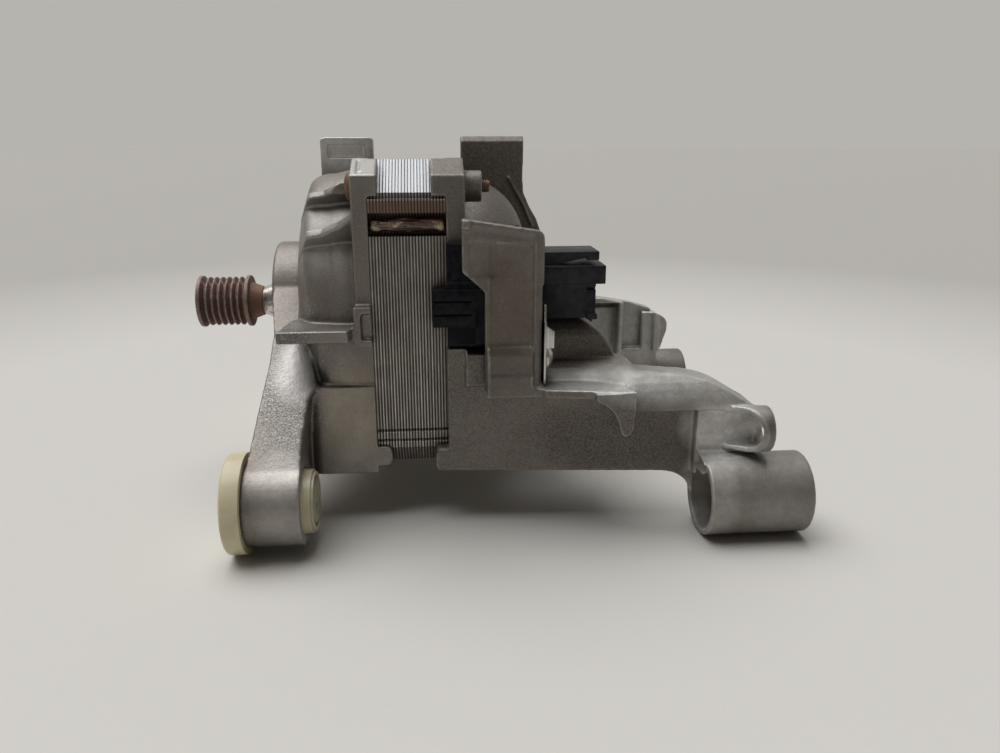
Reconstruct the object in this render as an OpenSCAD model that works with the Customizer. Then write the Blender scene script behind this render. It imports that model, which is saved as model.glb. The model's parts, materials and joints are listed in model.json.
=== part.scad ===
// Washing machine motor: a belt-drive brushed motor with two cast end shields.
// The shaft runs along X with the pulley at -X. The motor stands on Z = 0 on its
// front bushes and rear sleeves, and the middle of its length and width is the origin.

/* [Overall] */
// Height of the shaft axis above the surface the motor stands on
shaft_h = 69; // [66:0.5:76]
// Distance across the shaft between the two bushes, and between the two sleeves
mount_span = 137.4; // [130:0.2:146]

/* [Stator stack] */
// Place along the shaft of the stack's front end
stack_x = -37.5; // [-42:0.5:-33]
// Length of the stack
stack_l = 25; // [20:0.5:32]
// Width of the stack between its two flat sides
stack_w = 100; // [96:0.5:106]
// Height of the yoke above the shaft axis, and depth below it
stack_half_h = 50; // [48:0.5:51]
// Height of the upper lugs above the shaft axis
lug_top = 53.3; // [52:0.1:56]
// Height where the sloping face of a lug starts
lug_face = 43.4; // [42:0.1:46]
// Width of the sloping face of a lug, across the shaft
lug_slope_w = 14; // [10:0.5:18]
// Drop of the far lugs below the near ones
far_drop = 2.6; // [0:0.1:4]
// Height of the lower edge of the lead channel
channel_z = 29.7; // [28:0.1:34]
// Height of the lead channel
channel_h = 7.4; // [5:0.1:8]
// Depth of the lead channel
channel_depth = 6.5; // [5:0.5:8]
// Depth of the two alignment grooves low on each flat side
groove_depth = 0.7; // [0.3:0.1:1.5]
// Size of the bevel along the lower corners
low_bevel = 7.5; // [5:0.1:8]

/* [Rotor] */
// Diameter of the rotor stack
rotor_d = 58; // [54:0.5:60]
// Gap between rotor and stator
air_gap = 0.6; // [0.4:0.1:1]
// Number of rotor slots and commutator bars
bars = 24; // [16:2:32]
// Width of a rotor slot
rotor_slot_w = 2.4; // [1.6:0.1:3]
// Depth of a rotor slot
rotor_slot_depth = 9; // [6:0.5:11]
// Diameter of the commutator
comm_d = 36; // [32:0.5:38]
// Length of the commutator
comm_l = 17; // [15:0.5:17]

/* [Field coils] */
// Clearance between the coils and the rotor
coil_clear = 2.5; // [2:0.1:4]
// Clearance between the coils and the rear bell
coil_gap = 1.5; // [1:0.1:3]
// How far the coil ends stand out of the stack
coil_end = 8; // [6:0.5:8]
// Half angle of the coil window, from straight up
window_angle = 46; // [40:1:52]
// Thickness of the slot liners
liner_t = 0.6; // [0.3:0.1:0.8]

/* [Front shield] */
// Thickness of the flange plate that clamps the stack
flange_t = 5.2; // [4.5:0.1:8]
// Outer radius of the bell
bell_r = 48.5; // [47:0.5:49]
// Length of the bell in front of the flange
bell_l = 21.3; // [18:0.1:24]
// Rounding of the bell's shoulder
bell_round = 19; // [8:0.5:20]
// Wall thickness of both shields
wall = 4; // [3:0.5:5]
// Radius of the bearing hub
hub_r = 22.3; // [21.5:0.1:24]
// Length of the bearing hub in front of the bell
hub_l = 11; // [9:0.5:14]
// Rise of the ears above the sloping face of the lugs
ear_rise = 5.4; // [3:0.1:7]
// How far the ears lap over the stack
ear_lap = 3.3; // [2:0.1:5]
// Height of the raised pads on the far side, above the shaft axis
pad_top = 60; // [56:0.5:64]
// Distance of the raised pads from the shaft, across it
pad_y = 25; // [22:0.5:28]
// Thickness of the raised pads
pad_t = 6; // [4:0.5:8]
// Height of the corner blocks' upper face below the shaft axis
block_top = 20; // [17:0.5:24]
// Length of the corner blocks in front of the stack
block_l = 22.5; // [18:0.5:24]
// Depth of the corner blocks below the stack
block_drop = 1.2; // [0:0.1:2]
// How far the shields lap under the stack's lower bevels
low_lap = 5; // [3:0.1:6]
// How far the side tab stands out from the stack's flat side
tab_reach = 8; // [5:0.5:10]
// Thickness of the side tab
tab_t = 4; // [3:0.5:6]

/* [Front mounts] */
// Radius of the bush eyes
eye_r = 14.2; // [13.5:0.1:16]
// Length of the bush eyes
eye_l = 18; // [15:0.5:21]
// Diameter of the bush flange
bush_flange_d = 32.7; // [30:0.1:36]
// Thickness of the bush flange
bush_flange_t = 6; // [4:0.5:8]
// Diameter of the bush inside the eye
bush_d = 21; // [18:0.5:22]
// Diameter of the bush's closing disc
bush_cap_d = 20.5; // [18:0.5:20.5]
// Thickness of the bush's closing disc
bush_cap_t = 3.4; // [2.5:0.1:5]
// Bore of the bush
bush_bore = 10.5; // [8:0.5:13]

/* [Rear shield] */
// Thickness of the plate behind the stack
rear_plate_t = 6; // [5:0.5:8]
// Radius of the rear bell
rear_bell_r = 45.5; // [45:0.5:47]
// Length of the rear bell behind its plate
rear_bell_l = 24; // [21:0.5:28]
// Rounding of the rear bell's shoulder
rear_round = 23.5; // [16:0.5:23.5]
// Radius of the rear hub
rear_hub_r = 17; // [16.5:0.1:18]
// How far the rear hub stands out of the bell
rear_hub_l = 24; // [22:0.5:27]
// Width of the brush windows along the shaft
brush_window_l = 21; // [20:0.5:23]
// Distance of the arms' outer face from the stack's flat side, at the stack
arm_out = 5; // [4:0.5:7]
// Wall thickness of the arms
arm_t = 4.5; // [3.5:0.1:6]
// Height of the arms' lower edge above the axis of the sleeves
arm_rise = 5.5; // [3:0.1:8]
// Height of the shelf's upper face below the shaft axis
shelf_z = 18; // [16:0.5:21]
// Thickness of the shelf
shelf_t = 2.8; // [2:0.1:5]
// Length of the shelf behind the guard wall's front edge
shelf_l = 47.5; // [40:0.5:52]

/* [Guard wall] */
// Distance of the guard wall's outer face from the shaft
guard_y = 63.5; // [62:0.5:66]
// Thickness of the guard wall
guard_t = 3; // [2:0.5:4]
// Length of the guard wall along the shaft
guard_l = 26; // [24:0.5:27]
// Height of the guard wall's front upper corner above the shaft axis
guard_top = 36.5; // [33:0.5:40]
// Drop of the guard wall's upper edge towards the rear
guard_drop = 3.8; // [0:0.1:6]

/* [Rear mounts] */
// Outside diameter of the rear sleeves
sleeve_od = 27.4; // [26:0.1:30]
// Bore of the rear sleeves
sleeve_bore = 23; // [20:0.5:24]
// Length of the rear sleeves
sleeve_l = 34.5; // [30:0.5:40]
// Distance from the stack's rear end to the sleeves
sleeve_gap = 83.25; // [78:0.25:90]
// Hole of the earth lug
lug_hole_d = 7.6; // [5:0.1:9]
// Radius of the earth lug
lug_r = 7.7; // [6.5:0.1:9]
// Thickness of the earth lug
lug_t = 2.4; // [1.5:0.1:4]

/* [Brush gear] */
// Width of a carbon brush along the shaft
brush_w = 12.5; // [11:0.5:13]
// Thickness of a carbon brush around the shaft
brush_t = 5; // [4:0.5:6]
// Length of a carbon brush
brush_l = 30; // [26:0.5:31]
// Clearance between a brush and its holder or the commutator
brush_gap = 0.3; // [0.2:0.05:0.5]
// Travel left for a brush to be pushed back
brush_travel = 5; // [3:0.5:6]
// Wall of the brush tube
tube_wall = 1.6; // [1.2:0.1:2]
// Height of the brush holder's top above the shaft axis
holder_top = 27.8; // [25:0.1:29]
// Height of the ribbed band round the brush holder
holder_band = 12.1; // [10:0.1:14]
// Thickness of the brush holder's body beside the stack
holder_t = 4.5; // [3:0.1:6]

/* [Connector] */
// Height of the connector
conn_h = 17.5; // [15:0.5:18]
// Width of the connector across the shaft
conn_w = 17; // [14:0.5:18]
// Length of the connector behind the guard wall
conn_l = 21.5; // [19:0.5:24]
// Height of the connector's lower face above the shaft axis
conn_z = 2.4; // [1:0.1:4]
// Number of terminals in a row
blades = 4; // [3:1:5]

/* [Earth tab] */
// Width of the earth tab
earth_w = 8.4; // [6:0.1:9]
// Thickness of the earth tab
earth_t = 0.8; // [0.6:0.1:1.2]
// Height of the earth tab's wide part
earth_h = 21; // [18:0.5:23]
// Height of the earth tab's narrow tongue
tongue_h = 5; // [4:0.1:7]
// Hole of the earth tab
earth_hole_d = 4.4; // [3.5:0.1:5]
// Width of the earth tab's bent flap
flap_w = 3.3; // [2.5:0.1:4]

/* [Shaft and bearings] */
// Diameter of the shaft where the pulley sits
nose_d = 9; // [8:0.5:9.5]
// Diameter of the shaft in the rotor stack
core_d = 19; // [17:0.5:21]
// Bore of the front bearing
front_id = 15; // [12:0.5:16]
// Outside diameter of the front bearing
front_od = 35; // [32:0.5:36]
// Width of the front bearing
front_w = 11; // [10:0.5:12]
// Bore of the rear bearing
rear_id = 10; // [8:0.5:11]
// Outside diameter of the rear bearing
rear_od = 26; // [24:0.5:27]
// Width of the rear bearing
rear_w = 8; // [7:0.5:9]
// Clearance of pressed seats
fit = 0.05; // [0.03:0.01:0.1]

/* [Pulley] */
// Outside diameter of the pulley
pulley_d = 19.4; // [17:0.1:24]
// Height of the end rims over the ridges between the grooves
rim_h = 0.5; // [0.2:0.1:1]
// Number of belt grooves
grooves = 7; // [4:1:8]
// Pitch of the belt grooves
groove_pitch = 2.34; // [2.2:0.01:2.5]
// Depth of the belt grooves
groove_h = 2; // [1.5:0.1:2.3]
// Width of the pulley's end rims
rim_w = 1.3; // [0.8:0.1:2]
// Length of the tapered collar behind the pulley
collar_l = 4.6; // [3:0.1:6]

/* [Fasteners] */
// Diameter of the through bolts
bolt_d = 4.2; // [3.8:0.1:5]
// Diameter of the through bolts' heads
bolt_head_d = 10; // [8:0.5:10.5]
// Distance of the through bolts from the shaft, across it
bolt_y = 38; // [37:0.1:39]
// Distance of the through bolts from the yoke's upper and lower edges
bolt_inset = 5.4; // [5:0.1:6]
// Diameter of the bosses behind the ears
boss_d = 10.2; // [8:0.1:10.5]

/* [Hidden] */
$fn = 64;

// Small overlap that makes joined shapes one solid
bite = 0.5;

// Places along the shaft, from the front to the rear
side_y = stack_w / 2;
mount_y = mount_span / 2;
flange_x = stack_x - flange_t;
bell_x = flange_x - bell_l;
hub_x = bell_x - hub_l;
front_seat_x = hub_x + wall;
stack_end = stack_x + stack_l;
plate_end = stack_end + rear_plate_t;
rear_bell_x = plate_end + rear_bell_l;
rear_end = rear_bell_x + rear_hub_l;
sleeve_x = stack_end + sleeve_gap;
front_mount_z = bush_flange_d / 2 - shaft_h;
rear_mount_z = sleeve_od / 2 - shaft_h;
eye_x = hub_x - 2.8;
bolt_z = stack_half_h - bolt_inset;
guard_x0 = plate_end - 1.6;
guard_x1 = guard_x0 + guard_l;

// Radii of the field coils
coil_r = rotor_d / 2 + coil_clear;
coil_out = rear_bell_r - wall - coil_gap;

// Commutator and brush line
comm_x = plate_end + 2.2;
brush_x = comm_x + comm_l / 2;
brush_in = comm_d / 2 + brush_gap;
brush_out = brush_in + brush_l;
holder_out = brush_out + brush_travel + 4;

// Rear bearing and tacho
rear_seat_x = rear_bell_x - 1;
washer_t = 1.2;
tacho_x = rear_seat_x + rear_w + washer_t;

// Pulley
pulley_l = grooves * groove_pitch + 2 * rim_w;
pulley_x = -105.25;
pulley_end = pulley_x + pulley_l;
collar_end = pulley_end + collar_l;

// A flat outline of (Y, Z), carried along the shaft
module along_x(x0, x1) translate([x0, 0, 0]) rotate([90, 0, 90]) linear_extrude(x1 - x0) children();
// A flat outline of (X, Z), carried across the shaft
module along_y(y0, y1) translate([0, y1, 0]) rotate([90, 0, 0]) linear_extrude(y1 - y0) children();
// A flat outline of (X, Y), carried upwards
module along_z(z0, z1) translate([0, 0, z0]) linear_extrude(z1 - z0) children();
// A flat outline of (radius, X), turned about the shaft
module turned() rotate([0, 90, 0]) rotate_extrude() children();
// A round bar along the shaft direction
module rod(x0, x1, d) translate([x0, 0, 0]) rotate([0, 90, 0]) cylinder(h = x1 - x0, d = d);
// A box between two corners
module block(a, b) translate(a) cube(b - a);
// Everything is drawn about the shaft axis and lifted to its height
module lift() translate([0, 0, shaft_h]) children();
module both_sides() {
    children();
    mirror([0, 1, 0]) children();
}

// A rectangle with round corners between two corners
module round_rect(a, b, r) {
    translate(a + [r, 0]) square(b - a - [2 * r, 0]);
    translate(a + [0, r]) square(b - a - [0, 2 * r]);
    for (x = [a.x + r, b.x - r], y = [a.y + r, b.y - r]) translate([x, y]) circle(r);
}

// Two discs joined by their outer tangents
module link(p, q, rp, rq) {
    d = q - p;
    a = atan2(d.y, d.x);
    b = acos((rp - rq) / norm(d));
    translate(p) circle(rp);
    translate(q) circle(rq);
    polygon([for (s = [1, -1]) each s > 0
        ? [p + rp * [cos(a + b), sin(a + b)], q + rq * [cos(a + b), sin(a + b)]]
        : [q + rq * [cos(a - b), sin(a - b)], p + rp * [cos(a - b), sin(a - b)]]]);
}

// A wedge of the (Y, Z) plane between two angles, counted from straight up
module wedge(a0, a1, r) polygon([[0, 0], for (i = [0:6]) let (a = a0 + (a1 - a0) * i / 6) r * [sin(a),
    cos(a)]]);

// A closed outline from its far half and its near half, which both run from the top to the bottom
function closed(far, near) = concat(far, [for (i = [len(near) - 2:-1:1]) [-near[i].x, near[i].y]]);

// Outline of the stack: flat sides, upper lugs with a sloping face, bevelled lower corners
lug_in = side_y - lug_slope_w;
lug_step = 1.2;
function stack_half(drop) = [[0, stack_half_h - 0.2], [lug_in - 6, stack_half_h - 0.2],
    [lug_in - 3, lug_top - drop], [lug_in, lug_top - drop], [side_y - lug_step, lug_face],
    [side_y - lug_step, lug_face - 1.6], [side_y, lug_face - 1.9],
    [side_y, low_bevel - stack_half_h], [side_y - low_bevel, -stack_half_h], [0, -stack_half_h]];
module stack_outline() polygon(closed(stack_half(far_drop), stack_half(0)));

// Outline of the clamping plates: as the stack, with ears that stand proud of the lugs
ear_in = lug_in + 2;
corner = 1.5;
function plate_half(drop) = [[0, stack_half_h - 0.4], [ear_in - 5, stack_half_h - 0.4],
    [ear_in - 2, lug_top + 0.4 - drop], [ear_in, lug_top + 0.4 - drop],
    [side_y, lug_face + ear_rise - drop], [side_y, corner - stack_half_h],
    [side_y - corner, -stack_half_h], [0, -stack_half_h]];
module plate_outline() polygon(closed(plate_half(far_drop), plate_half(0)));

// What the plate's outline has and the stack's outline lacks
module lip_outline() difference() {
    plate_outline();
    stack_outline();
}

// The lips of the ears, which lap over the stack at its upper corners
module ear_lips(x0, x1) along_x(x0, x1) intersection() {
    lip_outline();
    for (y = [ear_in, -side_y - 1]) translate([y, lug_face - 1]) square([side_y + 1 - ear_in, lug_top]);
}

// The lips that lap under the stack's lower bevels
module low_lips(x0, x1) along_x(x0, x1) intersection() {
    lip_outline();
    translate([-side_y, -stack_half_h]) square([2 * side_y, low_bevel - fit]);
}

// The four places of the through bolts
module at_bolts() for (y = [-bolt_y, bolt_y], z = [-bolt_z, bolt_z]) translate([0, y, z]) children();
module at_upper_bolts() for (y = [-bolt_y, bolt_y]) translate([0, y, bolt_z]) children();

// FRONT SHIELD

// Half section of a bell as (radius, X): open at one end, with a round shoulder at the other
module bell_section(r, x_open, x_closed, round) {
    dir = x_closed > x_open ? 1 : -1;
    bend = x_closed - dir * round;
    translate([0, min(x_open, bend)]) square([r, abs(bend - x_open)]);
    translate([0, min(x_open, x_closed)]) square([r - round, abs(x_closed - x_open)]);
    intersection() {
        translate([r - round, bend]) circle(round);
        translate([r - round, min(bend, x_closed)]) square(round);
    }
}

// Space inside the front bell, with room for the coil ends and the rotor
module front_cavity() {
    turned() bell_section(bell_r - wall, stack_x + bite, bell_x + wall, bell_round - wall);
    rod(front_seat_x, bell_x + 2 * wall, front_od + 2 * fit);
    rod(hub_x - bite, front_seat_x + bite, front_id + 3);
}

// The bell with its round shoulder, and the bearing hub in front of it
hub_round = 1.5;
module front_bell() {
    turned() bell_section(bell_r, stack_x, bell_x, bell_round);
    turned() bell_section(hub_r, bell_x + wall, hub_x, hub_round);
}

// One arm from the hub to the near bush eye, with a waist below the hub
module front_arm() {
    eye = [-mount_y, front_mount_z];
    a = atan2(eye.y, eye.x);
    root_r = hub_r - 2;
    tip_r = eye_r - 0.6;
    intersection() {
        along_x(eye_x - 1, bell_x + 12) polygon([root_r * [cos(a - 90), sin(a - 90)],
            eye + tip_r * [cos(a - 90), sin(a - 90)],
            eye + tip_r * [cos(a + 90), sin(a + 90)], root_r * [cos(a + 90), sin(a + 90)]]);
        along_y(-mount_y - eye_r, 10) polygon([[hub_x + 1, hub_r], [hub_x + 1, 4], [hub_x + 2.6, -5],
            [hub_x + 2, -14],
            [hub_x, -26], [eye_x + 0.4, front_mount_z + eye_r - 4], [eye_x + 0.4, front_mount_z - eye_r],
            [eye_x + eye_l - 0.4, front_mount_z - eye_r], [eye_x + eye_l - 0.4, front_mount_z + eye_r - 2],
            [bell_x + 4.4, -31], [bell_x + 5.4, -23], [bell_x + 7.4, -19.6], [bell_x + 3.5, -6],
            [bell_x + 1, 4], [bell_x + 1, hub_r]]);
    }
    translate([0, eye.x, eye.y]) rod(eye_x, eye_x + eye_l, 2 * eye_r);
}

// A lower corner block that backs the stack, round along its front edge
module front_block() {
    edge = 3.5;
    x0 = stack_x - block_l;
    y0 = -side_y - 1.5;
    along_z(-stack_half_h - block_drop, -block_top) {
        translate([x0 + edge, y0]) square([block_l - edge, side_y - 20]);
        translate([x0, y0 + edge]) square([block_l, side_y - 24]);
        translate([x0 + edge, y0 + edge]) circle(edge);
    }
}

// Two gussets that tie an upper ear to the bell, one on each side of the bolt head
gusset_t = 3;
module ear_gussets() for (t = [-1, 1]) {
    rotate([45, 0, 0]) translate([0, t * (bolt_head_d / 2 + 3.2), 0]) along_y(-gusset_t / 2, gusset_t / 2)
        polygon([[flange_x + bite, bell_r - 12], [flange_x + bite, bell_r + (t < 0 ? 11 : 13)],
            [flange_x - 2, bell_r + 9], [flange_x - 5, bell_r + 6.4], [flange_x - 9, bell_r + 4],
            [flange_x - 14, bell_r + 0.5], [flange_x - 18, bell_r - 5], [bell_x + 1, bell_r - 12],
            [bell_x + 4, bell_r - 16]]);
}

// The cheek between the bell and the flange, under the clip, round at its lower front corner
module cheek() intersection() {
    along_z(-block_top - bite, -3) polygon([[flange_x + bite, -side_y], [flange_x - 1, -side_y + 0.2],
        [flange_x - 6, -side_y + 0.8], [flange_x - 10, -side_y + 2], [flange_x - 13.5, -side_y + 4.2],
        [flange_x - 16, -side_y + 7.2], [flange_x - 17.4, -side_y + 11], [flange_x - 17.8, -side_y + 18],
        [flange_x + bite, -side_y + 18]]);
    along_y(-side_y, -side_y + 18) polygon([[flange_x + bite, -3], [flange_x - 18, -3], [flange_x - 18, -9],
        [flange_x - 17.4, -13], [flange_x - 16.2, -16.5], [flange_x - 14.4, -19],
        [flange_x - 12, -block_top - bite], [flange_x + bite, -block_top - bite]]);
}

// The rounded tab with which a corner block laps over the stack's lower corner
module low_tab() along_y(-side_y - 1.5, -side_y) round_rect([stack_x - 4, -stack_half_h + 1.4],
    [stack_x + low_lap, -stack_half_h + low_bevel + 0.9], 2);

// The side tab, a level fin on the near side
module side_tab() along_z(-tab_t + 0.8, 0.8) polygon([[bell_x - 3.5, -side_y - tab_reach], [flange_x - 2,
    -side_y - tab_reach],
    [flange_x - 0.5, -side_y - 1], [flange_x - 0.5, -side_y + 8], [bell_x + 3, -side_y + 16],
        [bell_x - 1.5, -side_y + 10]]);

// The small open clip beside the tab
module side_clip() difference() {
    block([flange_x - 0.5, -side_y - 4, -5.5], [stack_x, -side_y + bite, 7.5]);
    block([flange_x + 1.8, -side_y - 5, -3.4], [stack_x + 1, -side_y - 2.2, 5.4]);
    block([flange_x + 1.8, -side_y - 5, -3.4], [stack_x - 2.4, -side_y - 0.8, 5.4]);
}

// The raised pad on the far upper side, with a shallow pocket on its inner face
module front_pad() difference() {
    x0 = bell_x + 3.5;
    along_y(pad_y, pad_y + pad_t) round_rect([x0, 20], [flange_x + 3, pad_top], 1.2);
    block([x0 + 3, pad_y - 1, pad_top - 8], [flange_x, pad_y + 1, pad_top - 2.5]);
}

module front_shield() color([0.62, 0.61, 0.58]) lift() difference() {
    union() {
        front_bell();
        along_x(flange_x, stack_x) plate_outline();
        ear_lips(stack_x - bite, stack_x + ear_lap);
        low_lips(stack_x - bite, stack_x + low_lap);
        both_sides() {
            front_arm();
            front_block();
            cheek();
            low_tab();
        }
        ear_gussets();
        translate([0, 0, -far_drop]) mirror([0, 1, 0]) ear_gussets();
        side_tab();
        side_clip();
        front_pad();
    }
    front_cavity();
    at_bolts() rod(flange_x - bite, stack_x + bite, bolt_d + 0.6);
    at_bolts() rod(stack_x - block_l - bite, flange_x, bolt_head_d + 2);
    both_sides() translate([0, -mount_y, front_mount_z]) rod(eye_x - bite, eye_x + eye_l + bite,
        bush_d + 2 * fit);
}

// A bush: flange in front, sleeve through the eye, closing disc with a small slot behind
module front_bush(side) color([0.86, 0.82, 0.62]) lift() translate([0, side * mount_y,
    front_mount_z]) difference() {
    x1 = eye_x + eye_l;
    turned() union() {
        translate([0, eye_x - bush_flange_t + 1]) square([bush_flange_d / 2, bush_flange_t - 1]);
        translate([0, eye_x - bush_flange_t]) square([bush_flange_d / 2 - 1, bush_flange_t]);
        translate([bush_flange_d / 2 - 1, eye_x - bush_flange_t + 1]) circle(1);
        translate([0, eye_x - bite]) square([bush_d / 2, eye_l + bite]);
        translate([0, x1 - bite]) square([bush_cap_d / 2, bush_cap_t + bite - 0.8]);
        translate([0, x1 - bite]) square([bush_cap_d / 2 - 0.8, bush_cap_t + bite]);
    }
    rod(eye_x - bush_flange_t - bite, x1 - 1, bush_bore);
    turned() translate([bush_cap_d / 2 - 3.2, x1 + bush_cap_t - 0.8]) square([1.2, 1]);
    block([x1, -0.8, -1.6], [x1 + bush_cap_t + 1, 0.8, 1.6]);
}

// REAR SHIELD

// Outer face of an arm in plan: it runs out from the stack's side to the sleeve
arm_y0 = side_y + arm_out;
arm_y1 = mount_y - 6.5;
arm_low = rear_mount_z + arm_rise;
arm_front = stack_end - 0.6;
arm_x = guard_x1;
foot_x0 = sleeve_x - 1.5;
foot_x1 = sleeve_x + 18.5;
function arm_y(x) = arm_y0 + (arm_y1 - arm_y0) * (x - stack_end) / (sleeve_x - stack_end);

// The front part of an arm's web, which laps over the stack's lower corner and rises under the brush holder
module web_front() {
    along_z(arm_low, -shelf_z - 1) polygon([[arm_front, -arm_y0], [arm_x, -arm_y(arm_x)],
        [arm_x, -arm_y(arm_x) + arm_t], [plate_end, -arm_y(plate_end) + arm_t + 6],
        [stack_end, -side_y + 10], [stack_end, -side_y], [arm_front, -side_y]]);
    along_y(-arm_y0, -side_y) round_rect([stack_end - low_lap, arm_low],
        [stack_end + 4, -stack_half_h + low_bevel + 0.9], 1.6);
    along_z(-shelf_z - 2, -6.6) polygon([[arm_front, -arm_y0], [guard_x0 + 7.6, -arm_y(guard_x0 + 7.6)],
        [guard_x0 + 7.6, -side_y + 1], [stack_end, -side_y + 1], [stack_end, -side_y], [arm_front,
            -side_y]]);
    block([guard_x0 + 1, -arm_y(plate_end) - 1.2, -shelf_z - 1], [guard_x0 + 8, -side_y - 2, -7]);
}

// The rear part of an arm's web, taller where it carries the roof
module web_rear(x0, x1, top) along_z(arm_low, top) polygon([[x0, -arm_y(x0)], [x1, -arm_y(x1)],
    [x1, -arm_y(x1) + arm_t], [x0, -arm_y(x0) + arm_t]]);

// Section of the roof over an arm: a curve from the ridge down to the eave, drawn in (Y, Z)
ridge_y = mount_y - 14.7;
near_ridge_z = -12.9;
far_ridge_z = -10.9;
eave_y = mount_y - 1.5;
eave_z = -24.9;
roof_t = 3.2;
roof_steps = 8;
function roof_curve(top, inset) = [for (i = [0:roof_steps]) let (t = 90 * i / roof_steps)
    [-ridge_y - (eave_y - ridge_y - inset) * sin(t), eave_z + (top - eave_z - inset) * pow(cos(t), 1.4)]];
module roof_section(top) {
    inner = roof_curve(top, roof_t);
    polygon(concat([[-ridge_y + 2.5, top - roof_t], [-ridge_y + 2.5, top]], roof_curve(top, 0),
        [[-eave_y, eave_z - 1.2], [-eave_y + roof_t, eave_z - 1.2]],
        [for (i = [roof_steps:-1:0]) inner[i]]));
}
// The space under the roof, which the walls across the arm fill
module roof_filled(top) polygon(concat([[-ridge_y + 2.5, floor_z - 1], [-ridge_y + 2.5, top]],
    roof_curve(top, 0),
    [[-eave_y, eave_z - 1.2], [-wall_y, eave_z - 1.2], [-wall_y, floor_z - 1]]));

// The roof seen from the side: the near one drops towards the earth lug, the far one ends in a round corner
module roof_side(near) polygon(concat([[arm_x, -70]], near
    ? [[arm_x, -18.5], [shelf_x1 - 6, -17.6], [shelf_x1 - 3.6, -15.6], [shelf_x1 - 1, -14.3],
        [shelf_x1 + 2, -13.9], [sleeve_x - 4, -15.6], [sleeve_x + 1.7, -16.9],
        [sleeve_x + 6.2, -18.7], [sleeve_x + 10, -20.9], [sleeve_x + 14, -23.4], [foot_x1, -26]]
    : [[arm_x, -10.4], [sleeve_x - 10, -11.6], [sleeve_x + 5, -15], [sleeve_x + 14, -17.8],
        [sleeve_x + 17, -19.6], [foot_x1 - 0.6, -21.4], [foot_x1, -24]],
    [[foot_x1, -70]]));

// The foot of an arm over its sleeve: an outer wall, a floor, a rib and an end wall under the roof
wall_y = mount_y - 2.8;
floor_z = -37;
foot_round = 11;
module arm_foot(top) {
    block([foot_x0, -wall_y, rear_mount_z + 6], [foot_x1, -wall_y + 3.4, eave_z + 1]);
    block([foot_x0, -wall_y, rear_mount_z + 6], [foot_x1, -ridge_y - 0.7, floor_z]);
    along_x(foot_x0, foot_x0 + 2.2) roof_filled(top);
    along_x(foot_x1 - 3, foot_x1) roof_filled(top);
    along_x(foot_x0, foot_x1) polygon([[-wall_y + 1, -40.5], [-wall_y, -40.5], [-wall_y - 0.8, -41],
        [-wall_y - 2.2, -41.3], [-mount_y - 1.5, -41.5], [-mount_y - 3.9, -42.1], [-mount_y - 6.5, -43.2],
        [-mount_y - 6.5, rear_mount_z + 9], [-wall_y + 1, rear_mount_z + 9]]);
    along_y(-arm_y1 + 0.6, -arm_y1 + arm_t) difference() {
        translate([sleeve_x - foot_round, rear_mount_z - 3]) square([foot_round - fit, arm_rise + 7]);
        translate([sleeve_x - foot_round, arm_low - foot_round]) circle(foot_round);
        translate([sleeve_x - 2 * foot_round, arm_low - 2 * foot_round]) square([foot_round,
            2 * foot_round]);
    }
}

// The shoulder that comes down from the bell in an S curve, with a round upper edge
shoulder_x0 = rear_bell_x - 8;
shoulder_y = ridge_y - 8;
shoulder_top = 1.7;
shoulder_curve = [[28, shoulder_top], [33.2, 0], [37.6, -2.3], [40.4, -4.8], [42.4, -7.6], [43.9, -10.4],
    [45.1, -12.8], [46.6, -14.8], [48.6, -16], [52, -16.6]];
module shoulder(x0, side) intersection() {
    along_y(-shoulder_y, -30) polygon(concat([[x0, -25], [x0, shoulder_top]], side,
        [[side[len(side) - 1].x, -25]]));
    along_x(shoulder_x0, sleeve_x) polygon([[-shoulder_y, -26], [-shoulder_y, -5], [-shoulder_y + 0.8, -3],
        [-shoulder_y + 2.4, -1.2], [-shoulder_y + 4.8, 0.4], [-shoulder_y + 8, shoulder_top], [-30,
            shoulder_top],
        [-30, -26]]);
}
// The round band that carries the roof's ridge on along the foot of the shoulder
module shoulder_foot() along_x(arm_x + 1.2, swell_x0) polygon([[-shoulder_y + bite, -24],
    [-shoulder_y + bite, -13.4], [-shoulder_y - 2, -13.2], [-shoulder_y - 4.5, -13.5],
    [-shoulder_y - 7, -14.4], [-shoulder_y - 9, -15.9], [-shoulder_y - 10.4, -17.4], [-ridge_y - 2.8, -18.3],
    [-ridge_y - 4, -shelf_z - shelf_t], [-ridge_y - 2, -24]]);

// The far foot is closed inside, and its inner edge ends in a round fin
module far_fill() along_x(foot_x0, foot_x1) intersection() {
    roof_filled(far_ridge_z);
    translate([-mount_y, floor_z]) square([mount_y - ridge_y - 4.5, -floor_z]);
}
module far_fin() {
    along_y(-ridge_y - 3.5, -ridge_y) polygon([[foot_x1 - 8, -19], [foot_x1 - 4, -19.4],
        [foot_x1 + 0.8, -20.8], [foot_x1 + 3, -22.4], [foot_x1 + 4.2, -24.6], [foot_x1 + 4.2, -27.6],
        [foot_x1 + 1.4, floor_z], [foot_x1 - 8, floor_z]]);
}

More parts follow.
